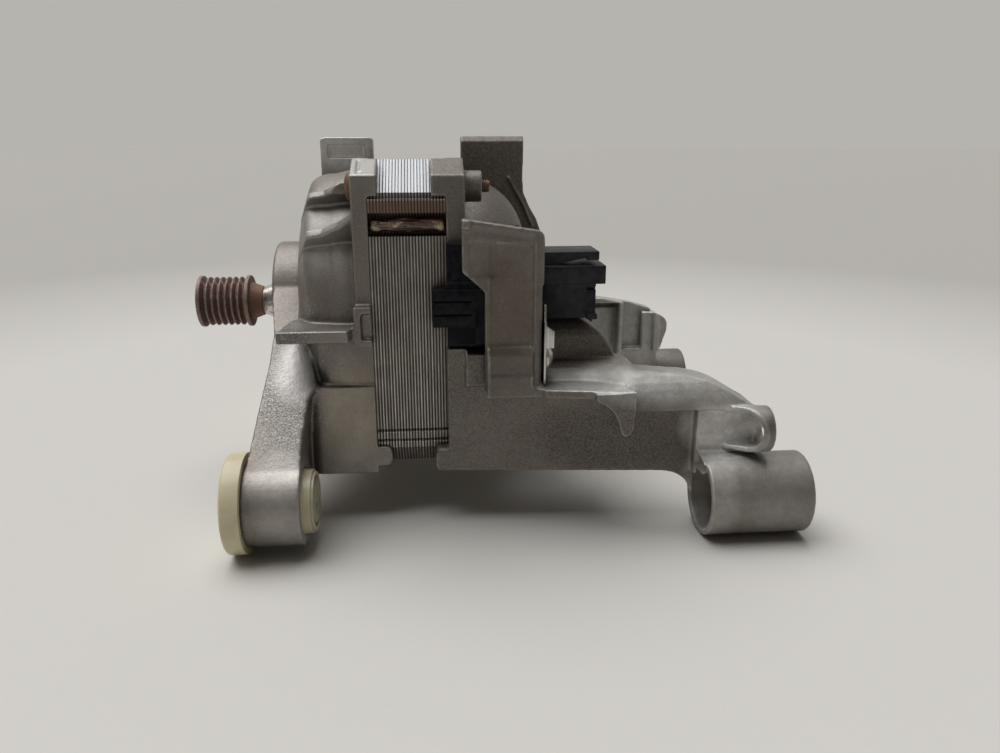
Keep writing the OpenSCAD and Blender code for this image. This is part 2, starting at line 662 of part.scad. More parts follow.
// One arm behind the guard wall; the shelf is only on the near one
module rear_arm(near) difference() {
    union() {
        web_rear(arm_x, shelf_x1 - 3, -shelf_z - 1);
        web_rear(shelf_x1 - 4, sleeve_x - fit, -shelf_z + 1);
        intersection() {
            union() {
                if (near) along_x(swell_x0 + swell_l - bite, foot_x1) roof_section(near_ridge_z);
                else along_x(arm_x + 4.5, foot_x1) roof_section(far_ridge_z);
                arm_foot(near ? near_ridge_z : far_ridge_z);
                if (!near) far_fill();
            }
            along_y(-mount_y - 5, -30) roof_side(near);
        }
        shoulder(arm_x, shoulder_curve);
        shoulder_foot();
        if (near) shelf(arm_x, shelf_x1);
        if (near) shelf_hook();
        if (near) roof_swell();
        if (!near) far_fin();
    }
    translate([0, -mount_y, rear_mount_z]) rod(sleeve_x - fit, sleeve_x + sleeve_l, sleeve_od + 2 * fit);
}
module rear_arm_near() color([0.55, 0.54, 0.51]) lift() rear_arm(true);
module rear_arm_far() color([0.55, 0.54, 0.51]) lift() mirror([0, 1, 0]) rear_arm(false);

// The sleeves at the ends of the arms
module rear_sleeve(side) color([0.57, 0.56, 0.53]) lift() translate([0, side * mount_y,
    rear_mount_z]) difference() {
    rod(sleeve_x, sleeve_x + sleeve_l, sleeve_od);
    rod(sleeve_x - bite, sleeve_x + sleeve_l + bite, sleeve_bore);
}

// The shelf beside the near arm, and the hooked tab at its rear end
shelf_x0 = guard_x0 + 7.6;
shelf_x1 = shelf_x0 + shelf_l;
shelf_y1 = mount_y + 2.3;
function shelf_y(x) = guard_y + (shelf_y1 - guard_y) * (x - shelf_x0) / shelf_l;
module shelf(x0, x1) along_z(-shelf_z - shelf_t, -shelf_z) polygon([[x0, -shelf_y(x0)], [x1, -shelf_y(x1)],
    [x1 - (x1 < shelf_x1 ? 0 : 5), -ridge_y + 2], [x0, -ridge_y + 2]]);
module shelf_hook() along_y(-shelf_y1, -shelf_y1 + 3) polygon([[shelf_x1, -shelf_z - bite], [shelf_x1, -26],
    [shelf_x1 - 0.4, -30.5], [shelf_x1 - 1.4, -32.6], [shelf_x1 - 2.8, -33.3], [shelf_x1 - 4.2, -32.8],
    [shelf_x1 - 5, -30.5], [shelf_x1 - 5.8, -27.6], [shelf_x1 - 7.2, -24.8], [shelf_x1 - 9.4, -22.6],
    [shelf_x1 - 13, -20.9], [shelf_x1 - 13, -shelf_z - bite]]);

// The near roof's start: sections that swell from the round band beside the shelf into the full roof
swell_x0 = shelf_x1 - 15;
swell_l = 17;
swell_n = 12;
function swell(t) = let (y0 = ridge_y - 6 + 6 * t, y1 = ridge_y + 3.2 + (eave_y - ridge_y - 3.2) * t,
    z1 = -shelf_z - 0.3 + (eave_z + shelf_z + 0.3) * t, top = near_ridge_z - 0.4 + 0.4 * t)
    [for (i = [0:roof_steps]) let (a = 90 * i / roof_steps)
        [-y0 - (y1 - y0) * sin(a), z1 + (top - z1) * pow(cos(a), 1.4)]];
module roof_swell() for (i = [0:swell_n - 1]) let (t = (i + 0.5) / swell_n, c = swell(t * t * (3 - 2 * t)))
    along_x(swell_x0 + swell_l * i / swell_n - 0.1, swell_x0 + swell_l * (i + 1) / swell_n)
        polygon(concat([[-shoulder_y + bite, -24], [-shoulder_y + bite, c[0].y]], c,
            [c[roof_steps] - [0, 1.2], [-ridge_y - 2, -24]]));

// The guard wall over the near brush holder, with a raised rim, a step below and an end wall
guard_top1 = guard_top - guard_drop;
guard_rim = 0.6;
module guard_outline() polygon([[guard_x0, guard_top], [guard_x1 - 2, guard_top1], [guard_x1 - 0.6,
    guard_top1 - 1],
    [guard_x1, guard_top1 - 3], [guard_x1, -shelf_z - 1], [guard_x0 + 7, -shelf_z - 1], [guard_x0 + 7,
        13.6],
    [guard_x0, 20]]);
guard_round = 3;
module guard() difference() {
    guard_walls();
    along_z(-shelf_z + 0.2, guard_top) difference() {
        translate([guard_x1 - guard_round, -guard_y - guard_rim - 2]) square(guard_round + 2);
        translate([guard_x1 - guard_round, -guard_y - guard_rim + guard_round]) circle(guard_round);
    }
}
module guard_walls() {
    along_y(-guard_y, -guard_y + guard_t) guard_outline();
    along_y(-guard_y - guard_rim, -guard_y + bite) difference() {
        guard_outline();
        polygon([[guard_x0 - 1, guard_top - 1.8], [guard_x1 - 3.4, guard_top1 - 1.6], [guard_x1 - 3.4,
            -shelf_z - 2],
            [guard_x0 - 1, -shelf_z - 2]]);
    }
    block([guard_x0, -guard_y - 1.4, guard_top - 3.4], [guard_x0 + 2.4, -guard_y + bite, guard_top - 0.5]);
    along_x(guard_x1 - guard_t, guard_x1) polygon([[-guard_y, guard_top1 - 3], [-guard_y, -shelf_z - 1],
        [-36, -shelf_z - 1], [-36, 22], [-guard_y + 9, guard_top1 - 6]]);
    along_x(guard_x0 + 7.5, guard_x1) polygon([[-guard_y + 1, -2.6], [-guard_y - 1, -4.6], [-guard_y - 1.8,
        -6.6],
        [-guard_y - 1.8, -shelf_z - 1], [-guard_y + 1, -shelf_z - 1]]);
    block([guard_x0 + 7.6, -guard_y - 1.8, -shelf_z - shelf_t], [guard_x1, -42, -shelf_z]);
}

// The earth lug beside the near sleeve: an eye whose rim runs back along the foot and tapers off
lug_c = [-mount_y - 1.3, -32];
lug_wall = 1.8;
module lug_outline(inset) link(lug_c, [-mount_y + 8, -34], lug_r - inset, lug_r - 1 - inset);
module earth_lug() color([0.56, 0.55, 0.52]) lift() {
    along_x(foot_x1, foot_x1 + lug_t) difference() {
        lug_outline(0);
        translate(lug_c) circle(d = lug_hole_d);
    }
    difference() {
        intersection() {
            along_x(foot_x1 - 11, foot_x1 + bite) difference() {
                lug_outline(0);
                lug_outline(lug_wall);
            }
            along_z(-60, 0) polygon([[foot_x1 + bite, lug_c.x - lug_r - 1], [foot_x1 + bite, -wall_y],
                [foot_x1 - 11, -wall_y], [foot_x1 - 11, -wall_y - 0.8], [foot_x1 - 5.5, lug_c.x - 1]]);
        }
        block([foot_x1 - 12, -eave_y - fit, eave_z - 1.2 - fit], [foot_x1, -wall_y + 1, 0]);
    }
}

// The raised pad on the far upper side, running down the bell as a rib
module rear_pad() {
    x0 = plate_end + 1.7;
    x1 = x0 + 25.5;
    top = pad_top + 0.5;
    difference() {
        along_y(pad_y, pad_y + pad_t - 1) difference() {
            polygon([[x0, top], [x1, top], [x1 - 0.3, 44], [x1, 38.5], [x1 + 2.6, 32.5],
                [x1 + 5.6, 27.5], [x1 + 7.5, 22], [x1 + 7.5, 10], [x0, 10]]);
            translate([x0 + 4, 10]) square([22, 14]);
        }
        along_x(x0 - 1, x1 + 1) polygon([[pad_y - 1, top - 3], [pad_y + 2, top], [pad_y + 2, top + 1],
            [pad_y - 1, top + 1]]);
    }
    rib = [[x1 - 5.9, 44.9], [x1 - 2.6, 39.3], [x1 + 0.8, 33.2], [x1 + 4.2, 25.1]];
    along_y(pad_y - 1, pad_y + bite) polygon(concat(rib, [for (i = [3:-1:0]) rib[i] - [1, 0.4]]));
}

// Openings of the bell for the brush holders, one on each side
window_low = -8.5;
window_top = 29.5;
module brush_windows() both_sides()
    block([plate_end, -rear_bell_r - 30, window_low], [plate_end + brush_window_l, -15, window_top]);

module rear_shield() color([0.55, 0.54, 0.51]) lift() difference() {
    union() {
        difference() {
            union() {
                turned() bell_section(rear_bell_r, stack_end, rear_bell_x, rear_round);
                along_x(stack_end, plate_end) plate_outline();
                both_sides() {
                    web_front();
                    shoulder(shoulder_x0, [[arm_x, shoulder_top]]);
                }
                rear_pad();
            }
            brush_windows();
        }
        rod(rear_bell_x - wall - 4, rear_end, 2 * rear_hub_r);
        ear_lips(stack_end - ear_lap - 1.5, stack_end + bite);
        low_lips(stack_end - low_lap + 0.5, stack_end + bite);
        at_upper_bolts() rod(plate_end - bite, plate_end + 6, boss_d);
        guard();
    }
    turned() bell_section(rear_bell_r - wall, stack_end - bite, rear_bell_x - wall, rear_round - wall);
    rod(rear_bell_x - 2 * wall, rear_seat_x + rear_w + washer_t, rear_od + 2 * fit);
    rod(rear_bell_x, rear_end + bite, rear_od - 4);
    at_bolts() rod(stack_end - bite, plate_end + 7, bolt_d + 0.6);
}

// STATOR

module stator_stack() color([0.45, 0.42, 0.38]) lift() difference() {
    along_x(stack_x, stack_end) difference() {
        stack_outline();
        circle(rotor_d / 2 + air_gap);
        for (a = [0, 180]) intersection() {
            circle(coil_out + liner_t + 0.2);
            wedge(a - window_angle, a + window_angle, stack_w);
        }
        for (y = [-side_y, side_y - channel_depth]) translate([y, channel_z]) square([channel_depth,
            channel_h]);
        for (y = [-side_y, side_y], z = [-36.4, -40])
            translate([y, z]) rotate(45) square(groove_depth * sqrt(2), center = true);
    }
    at_bolts() rod(stack_x - bite, stack_end + bite, bolt_d + 0.6);
}

// A field coil: a saddle round one pole, through the upper and lower windows
module field_coil(side) color([0.55, 0.28, 0.12]) lift() mirror([0, side > 0 ? 1 : 0, 0]) difference() {
    along_x(stack_x - coil_end, stack_end + coil_end) difference() {
        intersection() {
            circle(coil_out);
            wedge(-178, -2, stack_w);
        }
        circle(coil_r);
    }
    along_x(stack_x - 0.4, stack_end + 0.4) wedge(-180 + window_angle - 0.6, -window_angle + 0.6, stack_w);
}

// Insulating liners between the coils and the yoke, in both windows
module slot_liners() color([0.85, 0.8, 0.66]) lift() along_x(stack_x - 1.5, stack_end + 1.5) for (a = [0,
    180]) difference() {
    intersection() {
        circle(coil_out + 0.1 + liner_t);
        wedge(a - window_angle + 1, a + window_angle - 1, stack_w);
    }
    circle(coil_out + 0.1);
}

// The sleeved winding leads in the near channel
lead_d = 3.4;
module lead_sleeve() color([0.4, 0.2, 0.1]) lift()
    for (i = [0, 1]) translate([0, -side_y + 1.9 + i * (lead_d - 0.5),
        channel_z + lead_d / 2 + 0.1 + i * 0.9])
        rod(stack_x + 0.6, stack_end - 0.6, lead_d);

// Four bolts with domed heads that clamp the shields to the stack
module through_bolts() color([0.4, 0.26, 0.18]) lift() at_bolts() {
    rod(flange_x - 0.3, plate_end + 8.6, bolt_d);
    intersection() {
        rod(flange_x - 2.8, flange_x, bolt_head_d);
        translate([flange_x + 4.4, 0, 0]) sphere(d = 14.6);
    }
}

// BRUSH GEAR

tube_x0 = brush_x - brush_w / 2 - brush_gap - tube_wall;
tube_x1 = brush_x + brush_w / 2 + brush_gap + tube_wall;
tube_z = brush_t / 2 + brush_gap + tube_wall;

// A brush holder: a tube for the brush, a ribbed body beside the stack and a terminal part above
module brush_holder(side) color([0.08, 0.08, 0.1]) lift() mirror([0, side > 0 ? 1 : 0, 0]) difference() {
    y0 = -side_y - 0.6;
    band_low = 1.2;
    union() {
        block([tube_x0, -holder_out, -tube_z], [tube_x1, -comm_d / 2 - 4, tube_z]);
        block([stack_end - 5, y0 - holder_t - 2, band_low], [tube_x1, y0, band_low + holder_band]);
        block([stack_end - 0.3, y0 - holder_t + 0.5, band_low - 7], [tube_x1, y0, band_low + 1]);
        block([stack_end - 0.3, y0 - holder_t, band_low + 1], [tube_x1, y0, holder_top]);
        block([stack_end - 0.3, y0 - holder_t - 1, band_low + 1], [tube_x1, y0,
            band_low + holder_band + 2.3]);
        block([plate_end + 3, -side_y - 2, band_low + 1], [tube_x1, -comm_d, holder_top - 1.8]);
    }
    for (i = [1, 2]) let (z = band_low - 0.8 + i * (holder_band + 1) / 3)
        block([stack_end - 6, y0 - holder_t - 3.5, z], [tube_x0 - 1, y0 - holder_t - 1.1, z + 0.8]);
    block([brush_x - brush_w / 2 - brush_gap, -holder_out + tube_wall, -brush_t / 2 - brush_gap],
        [brush_x + brush_w / 2 + brush_gap, 0, brush_t / 2 + brush_gap]);
}

// A carbon brush, hollowed at its inner end to the commutator's curve
module carbon_brush(side) color([0.16, 0.16, 0.17]) lift() mirror([0, side > 0 ? 1 : 0, 0]) difference() {
    block([brush_x - brush_w / 2, -brush_out, -brush_t / 2], [brush_x + brush_w / 2, 0, brush_t / 2]);
    rod(brush_x - brush_w, brush_x + brush_w, 2 * brush_in);
}

// A coil spring behind a brush: one wire swept along a helix that points across the shaft
spring_r = 1.8;
spring_wire = 0.2;
spring_turns = 5;
module brush_spring(side) color([0.7, 0.7, 0.72]) lift() mirror([0, side > 0 ? 1 : 0, 0]) {
    y0 = brush_out + 0.35;
    y1 = holder_out - tube_wall - 0.35;
    steps = spring_turns * 8;
    sides = 6;
    rings = [for (i = [0:steps]) let (a = 45 * i,
        y = y0 + spring_wire + (y1 - y0 - 2 * spring_wire) * i / steps)
        [for (k = [0:sides - 1]) let (b = 360 * k / sides, r = spring_r + spring_wire * cos(b))
            [brush_x + r * cos(a), -y - spring_wire * sin(b), r * sin(a)]]];
    last = len(rings) - 1;
    polyhedron([for (ring = rings) each ring], concat(
        [for (i = [0:last - 1], k = [0:sides - 1], t = [0, 1]) let (n = (k + 1) % sides, p = i * sides,
            q = p + sides)
            t == 0 ? [p + k, p + n, q + n] : [p + k, q + n, q + k]],
        [for (k = [1:sides - 2]) [0, k + 1, k]],
        [for (k = [1:sides - 2]) [last * sides, last * sides + k, last * sides + k + 1]]));
}

// CONNECTOR AND EARTH

conn_x0 = guard_x1;
conn_x1 = guard_x1 + conn_l;
conn_y0 = -side_y - 2;
conn_y1 = conn_y0 + conn_w;

// The terminal housing: an open-ended box with a latch strip above it
module connector_housing() color([0.07, 0.07, 0.075]) lift() difference() {
    z1 = conn_z + conn_h;
    union() {
        block([conn_x0, conn_y0, conn_z], [conn_x1 - 3, conn_y1, z1]);
        block([conn_x0, conn_y0 - 0.8, z1 - 6], [conn_x1, conn_y1 + 0.8, z1]);
        block([conn_x1 - 6, conn_y0 - 0.8, conn_z - 0.4], [conn_x1 - 2.4, conn_y1, conn_z + 1.4]);
        along_y(conn_y0 + 1, conn_y1 - 1) polygon([[conn_x0, z1 - bite], [conn_x0, z1 + 4.4], [conn_x1 - 2,
            z1 + 4.4],
            [conn_x1 - 2, z1 + 1.6], [conn_x1 - 6, z1 + 1.6], [conn_x1 - 6, z1 + 2.4], [conn_x0 + 7,
                z1 + 0.8], [conn_x0 + 6, z1 - bite]]);
    }
    block([guard_x1 + 3, conn_y0 + 1.6, conn_z + 1.8], [conn_x1 + 1, conn_y1 - 1.6, z1 - 1.8]);
    block([conn_x1 - 6, conn_y0 - 1, z1 - 8], [conn_x1 + 1, conn_y0 + 1, z1 - 7]);
}

// The flat terminals, in two rows
module connector_blades() color([0.75, 0.72, 0.62]) lift() {
    step = (conn_w - 3.2) / blades;
    for (i = [0:blades - 1], z = [conn_z + conn_h * 0.36, conn_z + conn_h * 0.64])
        translate([guard_x1 + 3, conn_y0 + 1.6 + step * (i + 0.5), z])
            block([0, -1.1, -0.4], [conn_l - 8, 1.1, 0.4]);
}

screw_z = -8.5;
screw_y = -guard_y + 0.6 + earth_w / 2;
// The earth tab: a folded strip on the guard's end wall
module earth_tab() color([0.72, 0.7, 0.64]) lift() translate([guard_x1, screw_y,
    -shelf_z + 1]) difference() {
    union() {
        block([0, -earth_w / 2, 0], [earth_t, earth_w / 2, earth_h]);
        block([0, -earth_w / 3, earth_h - bite], [earth_t, earth_w / 3, earth_h + tongue_h]);
        along_y(-earth_w / 2, -earth_w / 2 + earth_t)
            polygon([[0, 12], [flap_w, 12], [flap_w, 17.6], [0, 19.9]]);
    }
    translate([0, 0, screw_z + shelf_z - 1]) rod(-1, earth_t + 1, earth_hole_d);
}

// The earth screw: a round head and its washer over the tab, with a cross recess
module earth_screw() color([0.8, 0.79, 0.76]) lift() translate([0, screw_y, screw_z]) difference() {
    turned() union() {
        translate([0, guard_x1 + 0.1]) square([2, 1]);
        translate([0, guard_x1 + 0.8]) square([4.6, 0.8]);
        intersection() {
            translate([0, guard_x1 + 1]) square([3.8, 3]);
            translate([0, guard_x1 - 1]) circle(4.7);
        }
    }
    for (a = [0, 90]) rotate([a, 0, 0]) block([guard_x1 + 2.4, -2, -0.4], [guard_x1 + 5, 2, 0.4]);
}

// BEARINGS

// Ball bearings: rings with a round race, and a ring of balls between them
function race_r(id, od) = (id + od) / 4;
function ball_r(id, od) = (od - id) / 2 * 0.3;
module race_ring(x, w, r0, r1, mid, ball) turned() difference() {
    translate([r0, x]) square([r1 - r0, w]);
    translate([mid, x + w / 2]) circle(ball + 0.3);
}
module bearing_outer(x, w, id, od) race_ring(x, w, race_r(id, od) + ball_r(id, od) * 0.55, od / 2,
    race_r(id, od), ball_r(id, od));
module bearing_inner(x, w, id, od) race_ring(x, w, id / 2 + fit, race_r(id, od) - ball_r(id, od) * 0.55,
    race_r(id, od), ball_r(id, od));
module bearing_balls(x, w, id, od, n) for (i = [0:n - 1])
    rotate([360 * i / n, 0, 0]) translate([x + w / 2, race_r(id, od), 0]) sphere(ball_r(id, od));

module front_bearing_outer() color("silver") lift() bearing_outer(front_seat_x, front_w, front_id,
    front_od);
module front_bearing_inner() color("silver") lift() bearing_inner(front_seat_x, front_w, front_id,
    front_od);
module front_bearing_balls() color("gainsboro") lift() bearing_balls(front_seat_x, front_w, front_id,
    front_od, 8);
module rear_bearing_outer() color("silver") lift() bearing_outer(rear_seat_x, rear_w, rear_id, rear_od);
module rear_bearing_inner() color("silver") lift() bearing_inner(rear_seat_x, rear_w, rear_id, rear_od);
module rear_bearing_balls() color("gainsboro") lift() bearing_balls(rear_seat_x, rear_w, rear_id, rear_od,
    7);

// The spring washer behind the rear bearing
module wave_washer() color("lightgray") lift() turned()
    translate([rear_od / 2 - 3.4, rear_seat_x + rear_w + 0.2]) square([3.2, washer_t - 0.4]);

// TACHO

tacho_gap = 1;
magnet_r = rear_id / 2 + 2;
module tacho_magnet() color([0.2, 0.2, 0.22]) lift() turned()
    translate([rear_id / 2 - 1 + fit, tacho_x + 1]) square([3, rear_end - tacho_x - 5]);
module tacho_coil() color([0.6, 0.3, 0.15]) lift() turned()
    translate([magnet_r + tacho_gap, tacho_x + 0.5]) square([rear_od / 2 - 2 - 0.1 - magnet_r - tacho_gap,
        rear_end - tacho_x - 1]);
module tacho_cap() color([0.12, 0.12, 0.13]) lift() {
    rod(rear_end, rear_end + 1.6, 2 * rear_hub_r - 3);
    rod(rear_end - 0.4, rear_end + bite, rear_od - 4 - 0.4);
}

// ROTOR

module shaft() color([0.75, 0.74, 0.72]) lift() turned() polygon([[0, pulley_x + 2], [nose_d / 2 - 0.5,
    pulley_x + 2],
    [nose_d / 2, pulley_x + 2.5], [nose_d / 2, collar_end], [nose_d / 2 + 0.6, collar_end + 0.2],
    [front_id / 2 - 0.6, hub_x - 2.4], [front_id / 2 - 0.6, hub_x - 0.5], [front_id / 2, hub_x],
        [front_id / 2, front_seat_x + front_w],
    [core_d / 2, front_seat_x + front_w + 0.2], [core_d / 2, comm_x - 1], [core_d / 2 - 2, comm_x],
    [core_d / 2 - 2, rear_seat_x - 0.4], [rear_id / 2, rear_seat_x - 0.2], [rear_id / 2,
        rear_seat_x + rear_w],
    [rear_id / 2 - 1, rear_seat_x + rear_w + 0.4], [rear_id / 2 - 1, rear_end - 2.5], [0, rear_end - 2.5]]);

// The rotor stack with its winding slots
module rotor_stack() color([0.4, 0.38, 0.36]) lift() difference() {
    rod(stack_x, stack_end, rotor_d);
    rod(stack_x - bite, stack_end + bite, core_d + 2 * fit);
    for (i = [0:bars - 1]) rotate([360 * i / bars, 0, 0])
        block([stack_x - bite, rotor_d / 2 - rotor_slot_depth, -rotor_slot_w / 2], [stack_end + bite,
            rotor_d, rotor_slot_w / 2]);
}

// The rotor winding: bars in the slots, joined by a round bundle at each end
winding_end = 7;
module rotor_winding() color([0.6, 0.3, 0.13]) lift() {
    r0 = core_d / 2 + 3;
    r1 = rotor_d / 2 - 1.5;
    for (x = [stack_x - winding_end - 0.2, stack_end + 0.2]) turned() round_rect([r0, x], [r1,
        x + winding_end], 2.5);
    for (i = [0:bars - 1]) rotate([360 * i / bars, 0, 0])
        block([stack_x - 1.5, rotor_d / 2 - rotor_slot_depth + 0.4, -rotor_slot_w / 2 + 0.1],
            [stack_end + 1.5, rotor_d / 2 - 1.6, rotor_slot_w / 2 - 0.1]);
}

// The commutator: copper bars with slits between them and a raised hook collar
comm_slit = 0.6;
module commutator() color([0.72, 0.42, 0.22]) lift() difference() {
    turned() union() {
        translate([core_d / 2 - 2 + fit, comm_x]) square([comm_d / 2 - core_d / 2 + 2 - fit, comm_l]);
        translate([core_d / 2 - 2 + fit, comm_x]) square([comm_d / 2 - core_d / 2 + 3.5 - fit, 2]);
    }
    for (i = [0:bars - 1]) rotate([360 * i / bars, 0, 0])
        block([comm_x - 1, comm_d / 2 - 2, -comm_slit / 2], [comm_x + comm_l + 1, comm_d, comm_slit / 2]);
}

// The pulley: vee grooves between two rims, and a tapered collar towards the motor
module pulley() color([0.33, 0.2, 0.15]) lift() difference() {
    turned() {
        rim = pulley_d / 2;
        r = rim - rim_h;
        tip = 0.5;
        polygon(concat([[0, pulley_x], [rim - 0.4, pulley_x], [rim, pulley_x + 0.4], [rim,
            pulley_x + rim_w - 0.2],
                [r, pulley_x + rim_w]],
            [for (i = [0:grooves - 1]) let (x = pulley_x + rim_w + i * groove_pitch)
                each [[r, x + tip / 2], [r - groove_h, x + groove_pitch / 2 - 0.15],
                    [r - groove_h, x + groove_pitch / 2 + 0.15], [r, x + groove_pitch - tip / 2]]],
            [[r, pulley_end - rim_w], [rim, pulley_end - rim_w + 0.2], [rim, pulley_end - 0.4],
                [rim - 0.4, pulley_end], [nose_d / 2 + 2.6, pulley_end], [nose_d / 2 + 0.9, collar_end],
                [0, collar_end]]));
    }
    rod(pulley_x + 2 - 0.3, collar_end + bite, nose_d + 2 * fit);
    rod(pulley_x - bite, pulley_x + 2, nose_d - 3);
}

module rear_sleeve_near() rear_sleeve(-1);
module rear_sleeve_far() rear_sleeve(1);
module front_bush_near() front_bush(-1);
module front_bush_far() front_bush(1);
module field_coil_near() field_coil(-1);
module field_coil_far() field_coil(1);
module brush_holder_near() brush_holder(-1);
module brush_holder_far() brush_holder(1);
module brush_spring_near() brush_spring(-1);
module brush_spring_far() brush_spring(1);
module carbon_brush_near() carbon_brush(-1);
module carbon_brush_far() carbon_brush(1);

front_shield();
rear_shield();
rear_arm_near();
rear_arm_far();
rear_sleeve_near();
rear_sleeve_far();
earth_lug();
stator_stack();
field_coil_near();
field_coil_far();
slot_liners();
lead_sleeve();
through_bolts();
front_bush_near();
front_bush_far();
brush_holder_near();
brush_holder_far();
brush_spring_near();
brush_spring_far();
carbon_brush_near();
carbon_brush_far();
connector_housing();
connector_blades();
earth_tab();
earth_screw();
front_bearing_outer();
front_bearing_inner();
front_bearing_balls();
rear_bearing_outer();
rear_bearing_inner();
rear_bearing_balls();
wave_washer();
tacho_coil();
tacho_cap();
tacho_magnet();
shaft();
rotor_stack();
rotor_winding();
commutator();
pulley();
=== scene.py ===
import json
import math

import bmesh
import bpy
import numpy as np
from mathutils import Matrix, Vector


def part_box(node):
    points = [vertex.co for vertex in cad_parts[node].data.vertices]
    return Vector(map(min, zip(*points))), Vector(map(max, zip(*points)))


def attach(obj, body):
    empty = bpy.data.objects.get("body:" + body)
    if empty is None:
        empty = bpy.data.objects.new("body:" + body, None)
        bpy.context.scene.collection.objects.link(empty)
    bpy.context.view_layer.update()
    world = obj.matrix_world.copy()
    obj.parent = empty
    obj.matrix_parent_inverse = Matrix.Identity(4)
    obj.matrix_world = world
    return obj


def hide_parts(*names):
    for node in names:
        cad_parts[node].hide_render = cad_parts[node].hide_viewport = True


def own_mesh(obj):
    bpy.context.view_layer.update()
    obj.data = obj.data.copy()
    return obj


print("motor: loading the packed frame")
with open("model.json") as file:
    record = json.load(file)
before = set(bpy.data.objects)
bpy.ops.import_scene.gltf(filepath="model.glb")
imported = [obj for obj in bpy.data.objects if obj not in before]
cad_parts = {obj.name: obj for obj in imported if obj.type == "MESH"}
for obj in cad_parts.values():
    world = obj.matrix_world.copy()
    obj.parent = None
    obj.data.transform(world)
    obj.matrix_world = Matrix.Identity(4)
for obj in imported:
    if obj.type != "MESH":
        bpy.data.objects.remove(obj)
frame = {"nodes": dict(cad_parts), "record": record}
nodes = frame["nodes"]
nodeSlot = {row["node"]: row["material_slot"] for row in frame["record"]["subparts"]}
nodeBody = {n: body for body, names in frame["record"]["behaviour"]["bodies"].items() for n in names}
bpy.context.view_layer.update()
scene = bpy.context.scene
mm = 0.001
axisHeight = 69 * mm
rng = np.random.default_rng(11)


# shader shorthand: put makes a node, a value may be a number, a vector, a colour or another node's output
def feed(tree, value, socket):
    if isinstance(value, bpy.types.NodeSocket):
        tree.links.new(value, socket)
    elif socket.type == "RGBA":
        socket.default_value = (*value, 1.0)
    else:
        socket.default_value = value


def put(tree, kind, values=None, **settings):
    made = tree.nodes.new("ShaderNode" + kind)
    for key, value in settings.items():
        setattr(made, key, value)
    for key, value in (values or {}).items():
        feed(tree, value, made.inputs[key])
    return made


def calc(tree, operation, a, b=0.0):
    return put(tree, "Math", {0: a, 1: b}, operation=operation).outputs[0]


def times(tree, a, b):
    return calc(tree, "MULTIPLY", a, b)


def stretch(tree, value, low, high, toLow=0.0, toHigh=1.0):
    values = {"Value": value, "From Min": low, "From Max": high, "To Min": toLow, "To Max": toHigh}
    return put(tree, "MapRange", values, clamp=True).outputs[0]


def blendColour(tree, factor, a, b):
    return put(tree, "Mix", {0: factor, 6: a, 7: b}, data_type="RGBA").outputs[2]


# a tone that turns to a colour by a share of the mask
def tinted(tree, tone, mask, share, colour):
    return blendColour(tree, times(tree, mask, share), tone, colour)


def noise(tree, where, scale, detail=3.0, rough=0.55, warp=0.0):
    values = {"Vector": where, "Scale": scale, "Detail": detail, "Roughness": rough, "Distortion": warp}
    return put(tree, "TexNoise", values).outputs[0]


def place(tree):
    return put(tree, "TexCoord").outputs["Object"]


def vectorCalc(tree, operation, a, b=(0.0, 0.0, 0.0)):
    return put(tree, "VectorMath", {0: a, 1: b}, operation=operation).outputs


def axesOf(tree, vector):
    return put(tree, "SeparateXYZ", {0: vector}).outputs


def shaderGroup(name, inputs, outputs, vectors=()):
    tree = bpy.data.node_groups.new(name, "ShaderNodeTree")
    for socketName in vectors:
        tree.interface.new_socket(socketName, in_out="INPUT", socket_type="NodeSocketVector")
    for socketName, value in inputs:
        socket = tree.interface.new_socket(socketName, in_out="INPUT", socket_type="NodeSocketFloat")
        socket.default_value = value
    for socketName in outputs:
        tree.interface.new_socket(socketName, in_out="OUTPUT", socket_type="NodeSocketFloat")
    return tree, tree.nodes.new("NodeGroupInput").outputs, tree.nodes.new("NodeGroupOutput").inputs


def grouped(tree, group, values):
    return put(tree, "Group", values, node_tree=group).outputs


print("motor: shared finishes")


# sand-cast skin: fine grain, soft blotches, small dark mottles, bright flecks painted as glints and the height that the
# grain gives
def makeCastSkin():
    tree, given, out = shaderGroup(
        "castSkin", [("GrainScale", 1700.0), ("BlotchScale", 45.0)], ["Grain", "Blotch", "Mottle", "Fleck", "Height"]
    )
    where = place(tree)

    def grainNoise(part, detail, rough):
        return noise(tree, where, times(tree, given["GrainScale"], part), detail, rough)

    fine = grainNoise(1.0, 2.0, 0.6)
    coarse = grainNoise(0.33, 2.0, 0.5)
    blotch = noise(tree, where, given["BlotchScale"], 5.0, 0.62, 0.6)
    sparkle = stretch(tree, grainNoise(0.75, 1.0, 0.5), 0.58, 0.74)
    cluster = stretch(tree, grainNoise(0.11, 3.0, 0.6), 0.40, 0.62)
    feed(tree, stretch(tree, fine, 0.32, 0.68), out["Grain"])
    feed(tree, stretch(tree, blotch, 0.34, 0.66), out["Blotch"])
    feed(tree, stretch(tree, grainNoise(0.2, 4.0, 0.65), 0.36, 0.64), out["Mottle"])
    feed(tree, times(tree, sparkle, cluster), out["Fleck"])
    feed(tree, calc(tree, "ADD", times(tree, fine, 0.55), times(tree, coarse, 0.45)), out["Height"])
    return tree


# worn edges, on the castings also a painted highlight along them, from how sharply the surface bends, broken up by
# noise
def makeEdgeWearAndHighlight():
    tree, given, out = shaderGroup("edgeWearAndHighlight", [("Sharp", 0.06), ("Breakup", 260.0)], ["Edge"])
    bend = put(tree, "NewGeometry").outputs["Pointiness"]
    flatBend = 0.51
    patch = stretch(tree, noise(tree, place(tree), given["Breakup"], 3.0), 0.3, 0.62)
    edge = calc(tree, "DIVIDE", calc(tree, "SUBTRACT", bend, flatBend), given["Sharp"])
    feed(tree, times(tree, stretch(tree, edge, 0.0, 1.0), patch), out["Edge"])
    return tree
